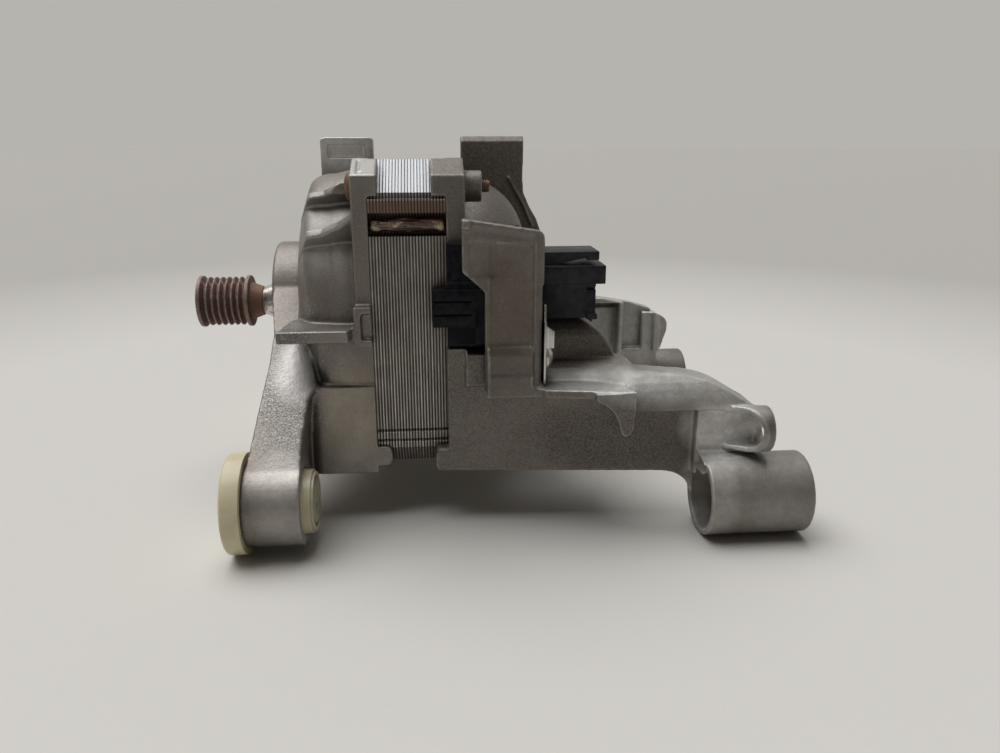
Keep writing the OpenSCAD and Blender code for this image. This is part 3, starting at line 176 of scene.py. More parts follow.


# darkening where little light comes in: dirt and painted shade in corners, creases and recesses, with a ragged border
def makeDirtAndShade():
    tree, given, out = shaderGroup("dirtAndShade", [("Reach", 0.006), ("Breakup", 120.0)], ["Dirt"])
    shade = put(tree, "AmbientOcclusion", {"Distance": given["Reach"]}, samples=6).outputs["AO"]
    ragged = noise(tree, place(tree), given["Breakup"], 4.0, 0.6)
    closed = calc(tree, "SUBTRACT", 1.0, shade)
    feed(tree, stretch(tree, calc(tree, "ADD", closed, times(tree, ragged, 0.5)), 0.45, 0.95), out["Dirt"])
    return tree


# a soft patch: how far a point lies from the centre, counted in the patch's half sizes, with a ragged border
def makeSoftPatch():
    tree, given, out = shaderGroup("softPatch", [("Ragged", 0.9), ("Breakup", 70.0)], ["Patch"], ["Centre", "Size"])
    where = place(tree)
    offset = vectorCalc(tree, "SUBTRACT", where, given["Centre"])[0]
    counted = vectorCalc(tree, "DIVIDE", offset, given["Size"])[0]
    distance = vectorCalc(tree, "LENGTH", counted)["Value"]
    border = calc(tree, "SUBTRACT", noise(tree, where, given["Breakup"], 4.0, 0.6), 0.5)
    reach = calc(tree, "ADD", distance, times(tree, border, given["Ragged"]))
    feed(tree, stretch(tree, reach, 1.15, 0.6), out["Patch"])
    return tree


# rust: patches that eat in from noise, a mottled tone and a crusty height
def makeRustCoat():
    tree, given, out = shaderGroup("rustCoat", [("Scale", 240.0), ("Spread", 0.5)], ["Rust", "Tone", "Height"])
    where = place(tree)
    patch = noise(tree, where, given["Scale"], 5.0, 0.65, 0.4)
    crust = noise(tree, where, times(tree, given["Scale"], 6.0), 3.0, 0.6)
    low = calc(tree, "SUBTRACT", 0.98, given["Spread"])
    spread = calc(tree, "SUBTRACT", patch, low)
    feed(tree, stretch(tree, spread, -0.12, 0.10), out["Rust"])
    feed(tree, stretch(tree, crust, 0.3, 0.7), out["Tone"])
    feed(tree, calc(tree, "ADD", times(tree, patch, 0.5), times(tree, crust, 0.5)), out["Height"])
    return tree


# stacked sheets: the place along X, counted in sheets, gives each sheet a tone and a dark line at its joint
def makeSheetLines():
    tree, given, out = shaderGroup(
        "sheetLines", [("Pitch", 0.001), ("Start", -0.0375)], ["Line", "Crest", "Tone", "Smear"]
    )
    where = place(tree)
    axes = axesOf(tree, where)
    count = calc(tree, "DIVIDE", calc(tree, "SUBTRACT", axes[0], given["Start"]), given["Pitch"])
    sheet = calc(tree, "FLOOR", count)
    inside = calc(tree, "ABSOLUTE", calc(tree, "SUBTRACT", calc(tree, "FRACT", count), 0.5))
    tone = put(tree, "TexWhiteNoise", {"W": sheet}, noise_dimensions="1D").outputs["Value"]
    smearPlace = put(tree, "CombineXYZ", {0: times(tree, sheet, 0.7), 1: axes[1], 2: axes[2]}).outputs[0]
    smear = noise(tree, vectorCalc(tree, "MULTIPLY", smearPlace, (1.0, 40.0, 40.0))[0], 3.0, 4.0)
    feed(tree, stretch(tree, inside, 0.38, 0.47), out["Line"])
    feed(tree, stretch(tree, inside, 0.18, 0.06), out["Crest"])
    feed(tree, tone, out["Tone"])
    feed(tree, stretch(tree, smear, 0.3, 0.7), out["Smear"])
    return tree


# turned marks: noise that changes only along the shaft
def makeTurnedRings():
    tree, given, out = shaderGroup("turnedRings", [("Scale", 3000.0)], ["Ring"])
    along = axesOf(tree, place(tree))[0]
    ring = put(tree, "TexNoise", {"W": along, "Scale": given["Scale"], "Detail": 2.0}, noise_dimensions="1D").outputs[0]
    feed(tree, stretch(tree, ring, 0.3, 0.7), out["Ring"])
    return tree


# wound wire: ridges across one direction, each wire with a tone of its own
def makeWireRows():
    tree, given, out = shaderGroup("wireRows", [("Wire", 0.0009)], ["Ridge", "Tone"])
    axes = axesOf(tree, place(tree))
    radial = put(tree, "CombineXYZ", {0: 0.0, 1: axes[1], 2: calc(tree, "SUBTRACT", axes[2], axisHeight)}).outputs[0]
    radius = vectorCalc(tree, "LENGTH", radial)["Value"]
    count = calc(tree, "DIVIDE", radius, given["Wire"])
    wave = calc(tree, "ABSOLUTE", calc(tree, "SUBTRACT", calc(tree, "FRACT", count), 0.5))
    wire = put(tree, "TexWhiteNoise", {"W": calc(tree, "FLOOR", count)}, noise_dimensions="1D").outputs["Value"]
    feed(tree, stretch(tree, wave, 0.5, 0.1), out["Ridge"])
    feed(tree, wire, out["Tone"])
    return tree


castSkin = makeCastSkin()
edgeWearAndHighlight = makeEdgeWearAndHighlight()
dirtAndShade = makeDirtAndShade()
softPatch = makeSoftPatch()
rustCoat = makeRustCoat()
sheetLines = makeSheetLines()
turnedRings = makeTurnedRings()
wireRows = makeWireRows()


def newMaterial(name):
    material = bpy.data.materials.new(name)
    material.use_nodes = True
    tree = material.node_tree
    return material, tree, tree.nodes["Principled BSDF"]


def setPlain(shader, values):
    for name, value in values.items():
        shader.inputs[name].default_value = value


def painted(tree, shader, tone, rough):
    feed(tree, tone, shader.inputs["Base Color"])
    feed(tree, rough, shader.inputs["Roughness"])


def bumped(tree, shader, height, look):
    made = put(tree, "Bump", {"Strength": look["bump"], "Distance": look["bumpDepth"], "Height": height})
    feed(tree, made.outputs[0], shader.inputs["Normal"])


# a soft area, in millimetres from the shaft axis: its middle, its half sizes, whether it lies only on faces that
# look up, and how ragged its border is; a tone patch is such an area with a colour and a share
def softArea(middle, half, top=False, ragged=0.5):
    x, y, z = middle
    centre = (x * mm, y * mm, z * mm + axisHeight)
    return {"centre": centre, "size": tuple(h * mm for h in half), "top": top, "ragged": ragged}


def tonePatch(middle, half, colour, share, **border):
    return dict(softArea(middle, half, **border), colour=colour, share=share)


def areaMask(tree, area):
    values = {"Centre": area["centre"], "Size": area["size"], "Ragged": area["ragged"]}
    mask = grouped(tree, softPatch, values)["Patch"]
    if not area["top"]:
        return mask
    # faces that look up: the top patches use this to paint light that falls from above
    upward = axesOf(tree, put(tree, "NewGeometry").outputs["Normal"])[2]
    return times(tree, mask, stretch(tree, upward, 0.3, 0.7))


def patched(tree, tone, patches):
    for patch in patches:
        tone = tinted(tree, tone, areaMask(tree, patch), patch["share"], patch["colour"])
    return tone


# cast aluminium: blotchy grey with patches of other tones, some of them painted light and shade; dirt and painted shade
# in the corners;
# rubbed edges that also carry a painted highlight; grain with bright flecks painted as glints, most where the sparkle
# patch lies
def castAluminium(name, look):
    material, tree, shader = newMaterial(name)
    skin = grouped(tree, castSkin, {"GrainScale": look["grain"], "BlotchScale": look["blotch"]})
    wearAndHighlight = grouped(tree, edgeWearAndHighlight, {"Sharp": look["edgeSharp"]})
    dirtShade = grouped(tree, dirtAndShade, {"Reach": look["dirtAndShadeReach"]})["Dirt"]
    where = place(tree)
    stainMask = stretch(tree, noise(tree, where, look["stainScale"], 5.0, 0.6, 0.8), 0.5, 0.72)
    sparkle = areaMask(tree, look["sparkle"])
    tone = blendColour(tree, skin["Blotch"], look["dark"], look["base"])
    tone = patched(tree, tone, look["patches"])
    tone = tinted(tree, tone, skin["Mottle"], look["mottleShare"], look["stain"])
    tone = tinted(tree, tone, stainMask, look["stainShare"], look["stain"])
    grainShare = stretch(tree, sparkle, 0.0, 1.0, look["grainShare"], look["sparkle"]["share"])
    tone = tinted(tree, tone, skin["Grain"], grainShare, look["bright"])
    tone = tinted(tree, tone, dirtShade, look["dirtAndShadeShare"], look["dirtAndShadeColour"])
    tone = tinted(tree, tone, wearAndHighlight["Edge"], look["edgeShare"], look["edge"])
    fleckShare = stretch(tree, sparkle, 0.0, 1.0, look["fleckShare"], look["sparkle"]["share"])
    tone = tinted(tree, tone, skin["Fleck"], fleckShare, look["edge"])
    rough = stretch(tree, skin["Grain"], 0.0, 1.0, look["roughHigh"], look["roughLow"])
    rough = calc(tree, "SUBTRACT", rough, times(tree, sparkle, look["sparkleSmooth"]))
    painted(tree, shader, tone, rough)
    setPlain(shader, {"Metallic": look["metallic"], "Specular IOR Level": 0.5})
    relief = times(tree, skin["Height"], stretch(tree, sparkle, 0.0, 1.0, look["relief"], 1.0))
    bumped(tree, shader, relief, look)
    return material


frontCast = {
    "grain": 1900.0, "blotch": 42.0, "stainScale": 30.0, "edgeSharp": 0.05, "dirtAndShadeReach": 0.008,
    "base": (0.27, 0.248, 0.225), "dark": (0.18, 0.16, 0.142), "bright": (0.44, 0.425, 0.405),
    "stain": (0.14, 0.115, 0.088), "dirtAndShadeColour": (0.055, 0.043, 0.032), "edge": (0.74, 0.73, 0.71),
    "stainShare": 0.35, "grainShare": 0.22, "dirtAndShadeShare": 0.7, "edgeShare": 0.24, "fleckShare": 0.08,
    "mottleShare": 0.2,
    "roughHigh": 0.50, "roughLow": 0.40, "metallic": 0.65, "bump": 0.55, "bumpDepth": 0.35 * mm, "relief": 0.4,
    "sparkle": dict(softArea((-66, -56, -14), (14, 26, 34)), share=0.48), "sparkleSmooth": 0.08,
    "patches": [
        tonePatch((-40, -45, 0), (5, 30, 48), (0.155, 0.132, 0.112), 0.75),
        tonePatch((-47, -60, -28), (12, 20, 20), (0.42, 0.375, 0.305), 0.8),
        tonePatch((-54, -36, 0), (10, 20, 16), (0.18, 0.155, 0.13), 0.6),
        # paler upper dome: a painted sheen
        tonePatch((-54, -30, 33), (12, 22, 10), (0.34, 0.33, 0.32), 0.6),
        tonePatch((-66, -56, -14), (12, 24, 34), (0.06, 0.058, 0.055), 0.88),
        # paler upward facet of the front arm: a painted highlight
        tonePatch((-60, -46, -14), (11, 15, 15), (0.60, 0.59, 0.575), 0.8, top=True, ragged=0.7),
        tonePatch((-66, -68, -52), (14, 16, 16), (0.62, 0.595, 0.56), 0.8),
        # paler top of the ear: painted light falling from above
        tonePatch((-40, -43, 51), (7, 16, 8), (0.36, 0.355, 0.345), 0.9, top=True),
        # paler face of the far pad: painted light from the room
        tonePatch((-52, 28, 57), (18, 10, 12), (0.78, 0.77, 0.755), 0.88, ragged=1.0),
    ],
}
rearCast = dict(
    frontCast, base=(0.185, 0.166, 0.144), dark=(0.125, 0.108, 0.09), bright=(0.33, 0.31, 0.28),
    stain=(0.085, 0.066, 0.049), stainShare=0.45, grainShare=0.38, fleckShare=0.05, mottleShare=0.27, bump=0.4,
    grain=1700.0, relief=0.7, dirtAndShadeShare=0.5, dirtAndShadeReach=0.005, edgeShare=0.4, roughHigh=0.58, roughLow=0.46,
    metallic=0.5,
    sparkle=dict(softArea((5, -64, 8), (16, 12, 30)), share=0.08),
    patches=[
        # darker web under the roof's overhang: painted shadow, with some oil stain
        tonePatch((43, -60, -38), (30, 18, 13), (0.06, 0.046, 0.035), 0.7),
        tonePatch((6, -66, 10), (9, 12, 22), (0.135, 0.106, 0.08), 0.7),
        tonePatch((6, 8, 36), (24, 44, 34), (0.082, 0.066, 0.056), 0.75),
        tonePatch((28, -40, -8), (18, 16, 9), (0.06, 0.048, 0.036), 0.75),
        tonePatch((92, -69, -55), (24, 22, 24), (0.36, 0.344, 0.322), 0.78, ragged=0.15),
        # paler inside of the sleeve's bore: painted light against the shade in the bore
        tonePatch((74, -69, -55), (9, 15, 15), (0.80, 0.77, 0.74), 0.85, ragged=0.3),
        tonePatch((80, -66, -34), (15, 12, 14), (0.86, 0.855, 0.84), 0.9),
        # paler band along the roof and shelf: painted light where the shoulder shades them
        tonePatch((66, -60, -18), (36, 20, 7.5), (0.62, 0.61, 0.595), 0.87, ragged=0.2),
        tonePatch((58, -54, -13), (26, 7, 5), (0.36, 0.35, 0.335), 0.6, ragged=0.2),
        tonePatch((86, -58, -22), (8, 10, 5), (0.45, 0.44, 0.42), 0.5),
        # paler top of the shelf: painted light falling from above
        tonePatch((34, -67, -18), (22, 14, 5), (0.74, 0.74, 0.72), 0.9, top=True, ragged=0.2),
        # darker patch at the shelf's end: painted shade that tones down the window's reflection
        tonePatch((38, -60, -15.5), (10, 6, 4), (0.36, 0.355, 0.34), 0.6),
        # paler far arm: painted light where the motor shades it
        tonePatch((70, 60, -26), (34, 24, 24), (0.62, 0.62, 0.58), 0.85),
    ],
)


# one between two heights, falling off over a soft border
def heightBand(tree, height, between, soft):
    low, high = between
    return times(tree, stretch(tree, height, low - soft, low), stretch(tree, height, high + soft, high))


# stator sheets: cut edges with dark joints, painted shade in the recesses, a painted highlight on the lug faces that
# slope up, varnish that browns the rest
def laminatedIron(name, look):
    material, tree, shader = newMaterial(name)
    lines = grouped(tree, sheetLines, {"Pitch": look["pitch"], "Start": look["start"]})
    dirtShade = grouped(tree, dirtAndShade, {"Reach": look["dirtAndShadeReach"]})["Dirt"]
    where = place(tree)
    facing = axesOf(tree, put(tree, "NewGeometry").outputs["True Normal"])
    height = axesOf(tree, where)[2]
    sloping = stretch(tree, facing[2], 0.35, 0.5)
    onLug = times(tree, sloping, stretch(tree, height, look["lugLow"], look["lugLow"] + look["lugSoft"]))
    varnish = noise(tree, where, look["varnishScale"], 4.0, 0.6, 0.5)
    side = blendColour(tree, lines["Smear"], look["dull"], look["cut"])
    side = blendColour(tree, stretch(tree, varnish, 0.45, 0.7, 0.0, look["varnishShare"]), side, look["varnish"])
    crest = times(tree, lines["Crest"], stretch(tree, lines["Tone"], 0.0, 1.0, 0.5, 1.0))
    crest = times(tree, crest, stretch(tree, lines["Smear"], 0.0, 1.0, 0.55, 1.0))
    lowPart = stretch(tree, height, look["paleFrom"], look["paleTo"], 0.75, 1.0)
    side = tinted(tree, side, crest, lowPart, look["pale"])
    brown = heightBand(tree, height, look["brownBand"], look["brownSoft"])
    side = tinted(tree, side, brown, look["brownShare"], look["brown"])
    for between, colour in look["tickBands"]:
        tick = times(tree, heightBand(tree, height, between, look["tickSoft"]), lines["Crest"])
        side = blendColour(tree, tick, side, colour)
    # the lug colours are a painted highlight: the light that falls from above on the sloping lug faces
    bright = blendColour(tree, lines["Tone"], look["lug"], look["lugPale"])
    tone = blendColour(tree, onLug, side, bright)
    joint = times(tree, lines["Line"], stretch(tree, onLug, 0.0, 1.0, look["lineShare"], look["lugLine"]))
    tone = blendColour(tree, joint, tone, look["joint"])
    tone = tinted(tree, tone, dirtShade, look["dirtAndShadeShare"], look["joint"])
    painted(tree, shader, tone, stretch(tree, onLug, 0.0, 1.0, look["roughSide"], look["roughLug"]))
    setPlain(shader, {"Metallic": 0.7, "Specular IOR Level": 0.5})
    bumped(tree, shader, calc(tree, "SUBTRACT", lines["Tone"], lines["Line"]), look)
    return material


statorLook = {
    "pitch": 1.0 * mm, "start": -37.5 * mm, "lugLow": 108 * mm, "varnishScale": 60.0, "varnishShare": 0.6,
    "dull": (0.13, 0.113, 0.097), "cut": (0.185, 0.165, 0.143), "pale": (0.86, 0.83, 0.78),
    "varnish": (0.075, 0.055, 0.04), "joint": (0.018, 0.014, 0.011), "lug": (0.25, 0.258, 0.268),
    "lugPale": (0.31, 0.32, 0.332), "lineShare": 0.9, "lugLine": 0.25, "paleFrom": 90 * mm, "paleTo": 40 * mm,
    "brownBand": (104.6 * mm, 110.2 * mm), "brownSoft": 0.6 * mm, "brownShare": 0.8, "brown": (0.16, 0.105, 0.07),
    "tickBands": [((110.0 * mm, 110.6 * mm), (0.62, 0.62, 0.62)), ((104.9 * mm, 105.6 * mm), (0.46, 0.37, 0.25))],
    "tickSoft": 0.2 * mm, "lugSoft": 1.0 * mm, "dirtAndShadeReach": 4.0 * mm, "dirtAndShadeShare": 0.6, "roughSide": 0.48,
    "roughLug": 0.34, "bump": 0.5, "bumpDepth": 0.1 * mm,
}


# rusted steel: brown crust over dark metal, with rubbed grey where the bend is sharp
def rustySteel(name, look):
    material, tree, shader = newMaterial(name)
    rust = grouped(tree, rustCoat, {"Scale": look["scale"], "Spread": look["spread"]})
    wearAndHighlight = grouped(tree, edgeWearAndHighlight, {"Sharp": look["edgeSharp"], "Breakup": look["breakup"]})
    crust = blendColour(tree, rust["Tone"], look["deep"], look["light"])
    tone = blendColour(tree, rust["Rust"], look["metal"], crust)
    tone = patched(tree, tone, look["patches"])
    tone = tinted(tree, tone, wearAndHighlight["Edge"], look["edgeShare"], look["rubbed"])
    painted(tree, shader, tone, stretch(tree, rust["Rust"], 0.0, 1.0, look["smooth"], look["rough"]))
    setPlain(shader, {"Metallic": look["metallic"], "Specular IOR Level": 0.4})
    bumped(tree, shader, rust["Height"], look)
    return material


pulleyRust = {
    "scale": 170.0, "spread": 0.62, "edgeSharp": 0.05, "edgeShare": 0.85, "metallic": 0.45, "bump": 0.5,
    "deep": (0.14, 0.085, 0.072), "light": (0.29, 0.19, 0.158), "metal": (0.185, 0.142, 0.13),
    "rubbed": (0.60, 0.56, 0.535), "smooth": 0.40, "rough": 0.60, "breakup": 500.0, "bumpDepth": 0.3 * mm,
    "patches": [tonePatch((-83, 0, 0), (4.5, 9, 9), (0.27, 0.155, 0.10), 0.75)],
}
boltRust = dict(
    pulleyRust, scale=330.0, spread=0.7, deep=(0.085, 0.045, 0.027), light=(0.21, 0.115, 0.07),
    metal=(0.11, 0.08, 0.065), edgeShare=0.3, patches=[],
)


# bright ground steel with turned marks and a few brown specks
def groundSteel(name, look):
    material, tree, shader = newMaterial(name)
    ring = grouped(tree, turnedRings, {"Scale": look["rings"]})["Ring"]
    speck = grouped(tree, rustCoat, {"Scale": look["speckScale"], "Spread": look["speckle"]})
    tone = blendColour(tree, ring, look["low"], look["high"])
    tone = tinted(tree, tone, speck["Rust"], look["speckShare"], look["brown"])
    rough = stretch(tree, ring, 0.0, 1.0, look["smooth"], look["rough"])
    painted(tree, shader, tone, calc(tree, "ADD", rough, times(tree, speck["Rust"], look["speckRough"])))
    setPlain(shader, {"Metallic": 1.0})
    bumped(tree, shader, ring, look)
    return material


shaftSteel = {
    "rings": 3200.0, "speckle": 0.42, "low": (0.50, 0.48, 0.46), "high": (0.74, 0.72, 0.69),
    "brown": (0.20, 0.11, 0.06), "smooth": 0.16, "rough": 0.30, "speckScale": 420.0, "speckShare": 0.7,
    "speckRough": 0.3, "bump": 0.2, "bumpDepth": 0.05 * mm,
}
springLook = dict(shaftSteel, speckle=0.2, low=(0.58, 0.58, 0.58), high=(0.76, 0.76, 0.77))
brassLook = dict(shaftSteel, rings=1800.0, speckle=0.12, low=(0.38, 0.375, 0.36), high=(0.60, 0.595, 0.575))
copperLook = dict(
    shaftSteel, speckle=0.45, low=(0.45, 0.22, 0.11), high=(0.72, 0.40, 0.24), brown=(0.10, 0.05, 0.03),
)


# moulded plastic: an even colour with fine grain, faint scuffs along the edges, and dust with painted shade in the
# corners
def mouldedPlastic(name, look):
    material, tree, shader = newMaterial(name)
    skin = grouped(tree, castSkin, {"GrainScale": look["grain"], "BlotchScale": look["blotch"]})
    wearAndHighlight = grouped(tree, edgeWearAndHighlight, {"Sharp": look["edgeSharp"], "Breakup": look["scuffScale"]})
    dirtShade = grouped(tree, dirtAndShade, {"Reach": look["reach"], "Breakup": look["dirtShadeScale"]})["Dirt"]
    tone = blendColour(tree, skin["Blotch"], look["low"], look["high"])
    tone = patched(tree, tone, look["patches"])
    tone = tinted(tree, tone, dirtShade, look["dirtShadeShare"], look["dirtShade"])
    tone = tinted(tree, tone, wearAndHighlight["Edge"], look["scuffShare"], look["scuff"])
    painted(tree, shader, tone, stretch(tree, skin["Blotch"], 0.0, 1.0, look["rough"], look["smooth"]))
    setPlain(shader, look["shader"])
    bumped(tree, shader, skin["Height"], look)
    return material


blackMould = {
    "grain": 2600.0, "blotch": 90.0, "edgeSharp": 0.05, "reach": 0.003, "low": (0.0085, 0.008, 0.0095),
    "high": (0.016, 0.015, 0.0185), "dirtShade": (0.024, 0.021, 0.018), "dirtShadeShare": 0.3,
    "scuff": (0.055, 0.055, 0.062), "scuffShare": 0.4, "rough": 0.55, "smooth": 0.42, "bump": 0.22,
    "shader": {"Specular IOR Level": 0.22}, "patches": [], "scuffScale": 400.0, "dirtShadeScale": 200.0,
    "bumpDepth": 0.1 * mm,
}
holderMould = dict(
    blackMould, low=(0.0015, 0.0015, 0.004), high=(0.003, 0.003, 0.007), dirtShadeShare=0.06, scuffShare=0.25,
    rough=0.42, smooth=0.30, bump=0.12, shader={"Specular IOR Level": 0.10},
)
creamMould = dict(
    blackMould, grain=2200.0, blotch=70.0, reach=0.004, low=(0.60, 0.53, 0.335), high=(0.72, 0.66, 0.455),
    dirtShade=(0.26, 0.21, 0.12), dirtShadeShare=0.45, scuff=(0.80, 0.76, 0.60), rough=0.40, smooth=0.24, bump=0.1,
    shader={
        "Specular IOR Level": 0.5, "Subsurface Weight": 0.3, "Subsurface Scale": 0.0012,
        "Subsurface Radius": (1.0, 0.8, 0.42),
    },
    patches=[
        tonePatch((-57, -69, -53), (3, 13, 13), (0.34, 0.33, 0.26), 0.65),
        # a painted dark slot: painted shade standing for the slot in the disc's middle
        tonePatch((-57.2, -69.4, -53.6), (3.0, 1.4, 1.1), (0.012, 0.01, 0.008), 1.0, ragged=0.1),
    ],
)
filmMould = dict(
    creamMould, patches=[], low=(0.60, 0.52, 0.36), high=(0.74, 0.66, 0.48), shader={"Specular IOR Level": 0.5},
)
carbonMould = dict(
    blackMould, low=(0.022, 0.022, 0.023), high=(0.048, 0.047, 0.046), rough=0.62, smooth=0.48,
    shader={"Specular IOR Level": 0.45, "Metallic": 0.2},
)
ferriteMould = dict(carbonMould, low=(0.035, 0.035, 0.04), high=(0.065, 0.064, 0.068), rough=0.55, smooth=0.4)


# lacquered winding wire: ridges with a tone each under a clear coat
def windingWire(name, look):
    material, tree, shader = newMaterial(name)
    rows = grouped(tree, wireRows, {"Wire": look["wire"]})
    blotch = noise(tree, place(tree), look["blotch"], 4.0)
    tone = blendColour(tree, rows["Tone"], look["low"], look["high"])
    tone = blendColour(tree, stretch(tree, blotch, 0.45, 0.7, 0.0, look["varnishShare"]), tone, look["varnish"])
    tone = blendColour(tree, rows["Ridge"], look["gap"], tone)
    painted(tree, shader, tone, stretch(tree, rows["Tone"], 0.0, 1.0, look["smooth"], look["rough"]))
    setPlain(shader, {"Metallic": 0.6, "Coat Weight": 0.4, "Coat Roughness": 0.12})
    bumped(tree, shader, rows["Ridge"], look)
    return material


coilWire = {
    "wire": 0.9 * mm, "low": (0.32, 0.12, 0.05), "high": (0.52, 0.24, 0.10), "varnish": (0.20, 0.08, 0.03),
    "gap": (0.06, 0.025, 0.012), "blotch": 120.0, "varnishShare": 0.5, "smooth": 0.28, "rough": 0.42, "bump": 0.8,
    "bumpDepth": 0.3 * mm,
}


# varnished sleeving: glossy amber brown, darker in streaks along its length
def varnishedSleeve(name, look):
    material, tree, shader = newMaterial(name)
    where = place(tree)
    drawnOut = vectorCalc(tree, "MULTIPLY", where, look["drawnOut"])[0]
    streak = noise(tree, drawnOut, look["streakScale"], 4.0, 0.6, 0.5)
    cloud = noise(tree, where, look["cloudScale"], 3.0)
    tone = blendColour(tree, stretch(tree, streak, 0.36, 0.64), look["low"], look["high"])
    tone = blendColour(tree, stretch(tree, cloud, 0.52, 0.66, 0.0, look["goldShare"]), tone, look["gold"])
    painted(tree, shader, tone, stretch(tree, cloud, 0.3, 0.7, look["smooth"], look["rough"]))
    setPlain(shader, {"Specular IOR Level": 0.6, "Coat Weight": 0.6, "Coat Roughness": 0.06})
    bumped(tree, shader, streak, look)
    return material


leadLook = {
    "streakScale": 300.0, "cloudScale": 260.0, "low": (0.04, 0.02, 0.014), "high": (0.17, 0.095, 0.058),
    "gold": (0.62, 0.48, 0.32), "goldShare": 0.85, "drawnOut": (0.15, 1.0, 1.0), "smooth": 0.12, "rough": 0.30,
    "bump": 0.35, "bumpDepth": 0.4 * mm,
}

finishes = {
    "frontCast": castAluminium("frontCastAluminium", frontCast),
    "rearCast": castAluminium("rearCastAluminium", rearCast),
    "laminated_iron": laminatedIron("statorSheets", statorLook),
    "enamelled_copper": windingWire("windingWire", coilWire),
    "insulation_film": mouldedPlastic("slotFilm", filmMould),
    "varnished_sleeve": varnishedSleeve("varnishedSleeve", leadLook),
    "pulleyRust": rustySteel("pulleyRust", pulleyRust),
    "rusty_steel": rustySteel("boltRust", boltRust),
    "cream_plastic": mouldedPlastic("creamMoulding", creamMould),
    "black_plastic": mouldedPlastic("blackMoulding", blackMould),
    "holderBlack": mouldedPlastic("holderMoulding", holderMould),
    "spring_steel": groundSteel("springSteel", springLook),
    "carbon": mouldedPlastic("pressedCarbon", carbonMould),
    "tinned_brass": groundSteel("tinnedSheet", brassLook),
    "bright_steel": groundSteel("groundSteel", shaftSteel),
    "ferrite": mouldedPlastic("sinteredMagnet", ferriteMould),
    "copper": groundSteel("turnedCopper", copperLook),
}
rearCasting = ["rear_shield", "rear_arm_near", "rear_arm_far", "rear_sleeve_near", "rear_sleeve_far", "earth_lug"]
ownFinish = {
    "front_shield": "frontCast", "pulley": "pulleyRust", "brush_holder_near": "holderBlack",
    "brush_holder_far": "holderBlack",
    **{node: "rearCast" for node in rearCasting},
}


def finishOf(node):
    return finishes[ownFinish.get(node, nodeSlot[node])]


def addObject(name, data):
    made = bpy.data.objects.new(name, data)
    scene.collection.objects.link(made)
    return made


# a new piece takes over one or more nodes: it rides on the first one's body, in its finish and slot
def standFor(name, mesh, *taken):
    made = addObject(name, mesh)
    mesh.materials.clear()
    mesh.materials.append(finishOf(taken[0]))
    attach(made, nodeBody[taken[0]])
    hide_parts(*taken)
    return made


# a copy of one or more nodes as one mesh, with their loose triangles joined
def joinedCopy(*taken):
    work = bmesh.new()
    for node in taken:
        work.from_mesh(nodes[node].data)
    bmesh.ops.remove_doubles(work, verts=work.verts, dist=1e-6)
    return work


def meshFrom(work, name):
    mesh = bpy.data.meshes.new(name)
    work.to_mesh(mesh)
    work.free()
    return mesh


# the mesh that an object's modifiers give, as plain data; the object is removed
def applied(helper):
    graph = bpy.context.evaluated_depsgraph_get()
    mesh = bpy.data.meshes.new_from_object(helper.evaluated_get(graph))
    bpy.data.objects.remove(helper)
    return mesh


def addModifier(helper, kind, **settings):
    made = helper.modifiers.new(kind.lower(), kind)
    for key, value in settings.items():
        setattr(made, key, value)


# the places and the normals of a mesh's points
def meshArrays(mesh):
    arrays = []
    for field in ("co", "normal"):
        flat = np.empty(len(mesh.vertices) * 3)
        mesh.vertices.foreach_get(field, flat)
        arrays.append(flat.reshape(-1, 3))
    return arrays


def movePoints(mesh, points):
    mesh.vertices.foreach_set("co", points.ravel())
    mesh.update()


# one inside the box and none outside it, with a smooth slope of the border's width along each axis that has one
def boxWeight(points, low, high, border):
    weight = np.ones(len(points))
    for axis in range(3):
        if border[axis] > 0:
            inwards = np.minimum(points[:, axis] - low[axis], high[axis] - points[:, axis]) / border[axis]
            ramp = np.clip(inwards, 0, 1)
            weight *= ramp * ramp * (3 - 2 * ramp)
        else:
            weight *= (points[:, axis] > low[axis]) & (points[:, axis] < high[axis])
    return weight


# a place in millimetres from the shaft axis, as a point of the frame
def fromAxis(corner):
    return np.array(corner, float) * mm + np.array([0, 0, axisHeight])


# shallow dents: faces that look against the push direction move along it by the depth times the box's weight
def pressDents(mesh, dents):
    points, outward = meshArrays(mesh)
    for mark in dents:
        push = np.array(mark["push"], float)
        weight = boxWeight(points, fromAxis(mark["low"]), fromAxis(mark["high"]), np.array(mark["border"]) * mm)
        weight *= outward @ push < -0.5
        points += weight[:, None] * push * mark["depth"] * mm
    movePoints(mesh, points)


# places that the pattern maker blended by hand: more rounds of smoothing, fading out at the box's border
def blendAreas(mesh, areas):
    for area in areas:
        points = meshArrays(mesh)[0]
        weight = boxWeight(points, fromAxis(area["low"]), fromAxis(area["high"]), np.full(3, area["border"] * mm))
        helper = addObject("helper", mesh)
        group = helper.vertex_groups.new(name="blend")
        for index in np.flatnonzero(weight > 0.01).tolist():
            group.add([index], float(weight[index]), "REPLACE")
        addModifier(helper, "SMOOTH", factor=0.5, iterations=area["rounds"], vertex_group="blend")
        mesh = applied(helper)
    return mesh


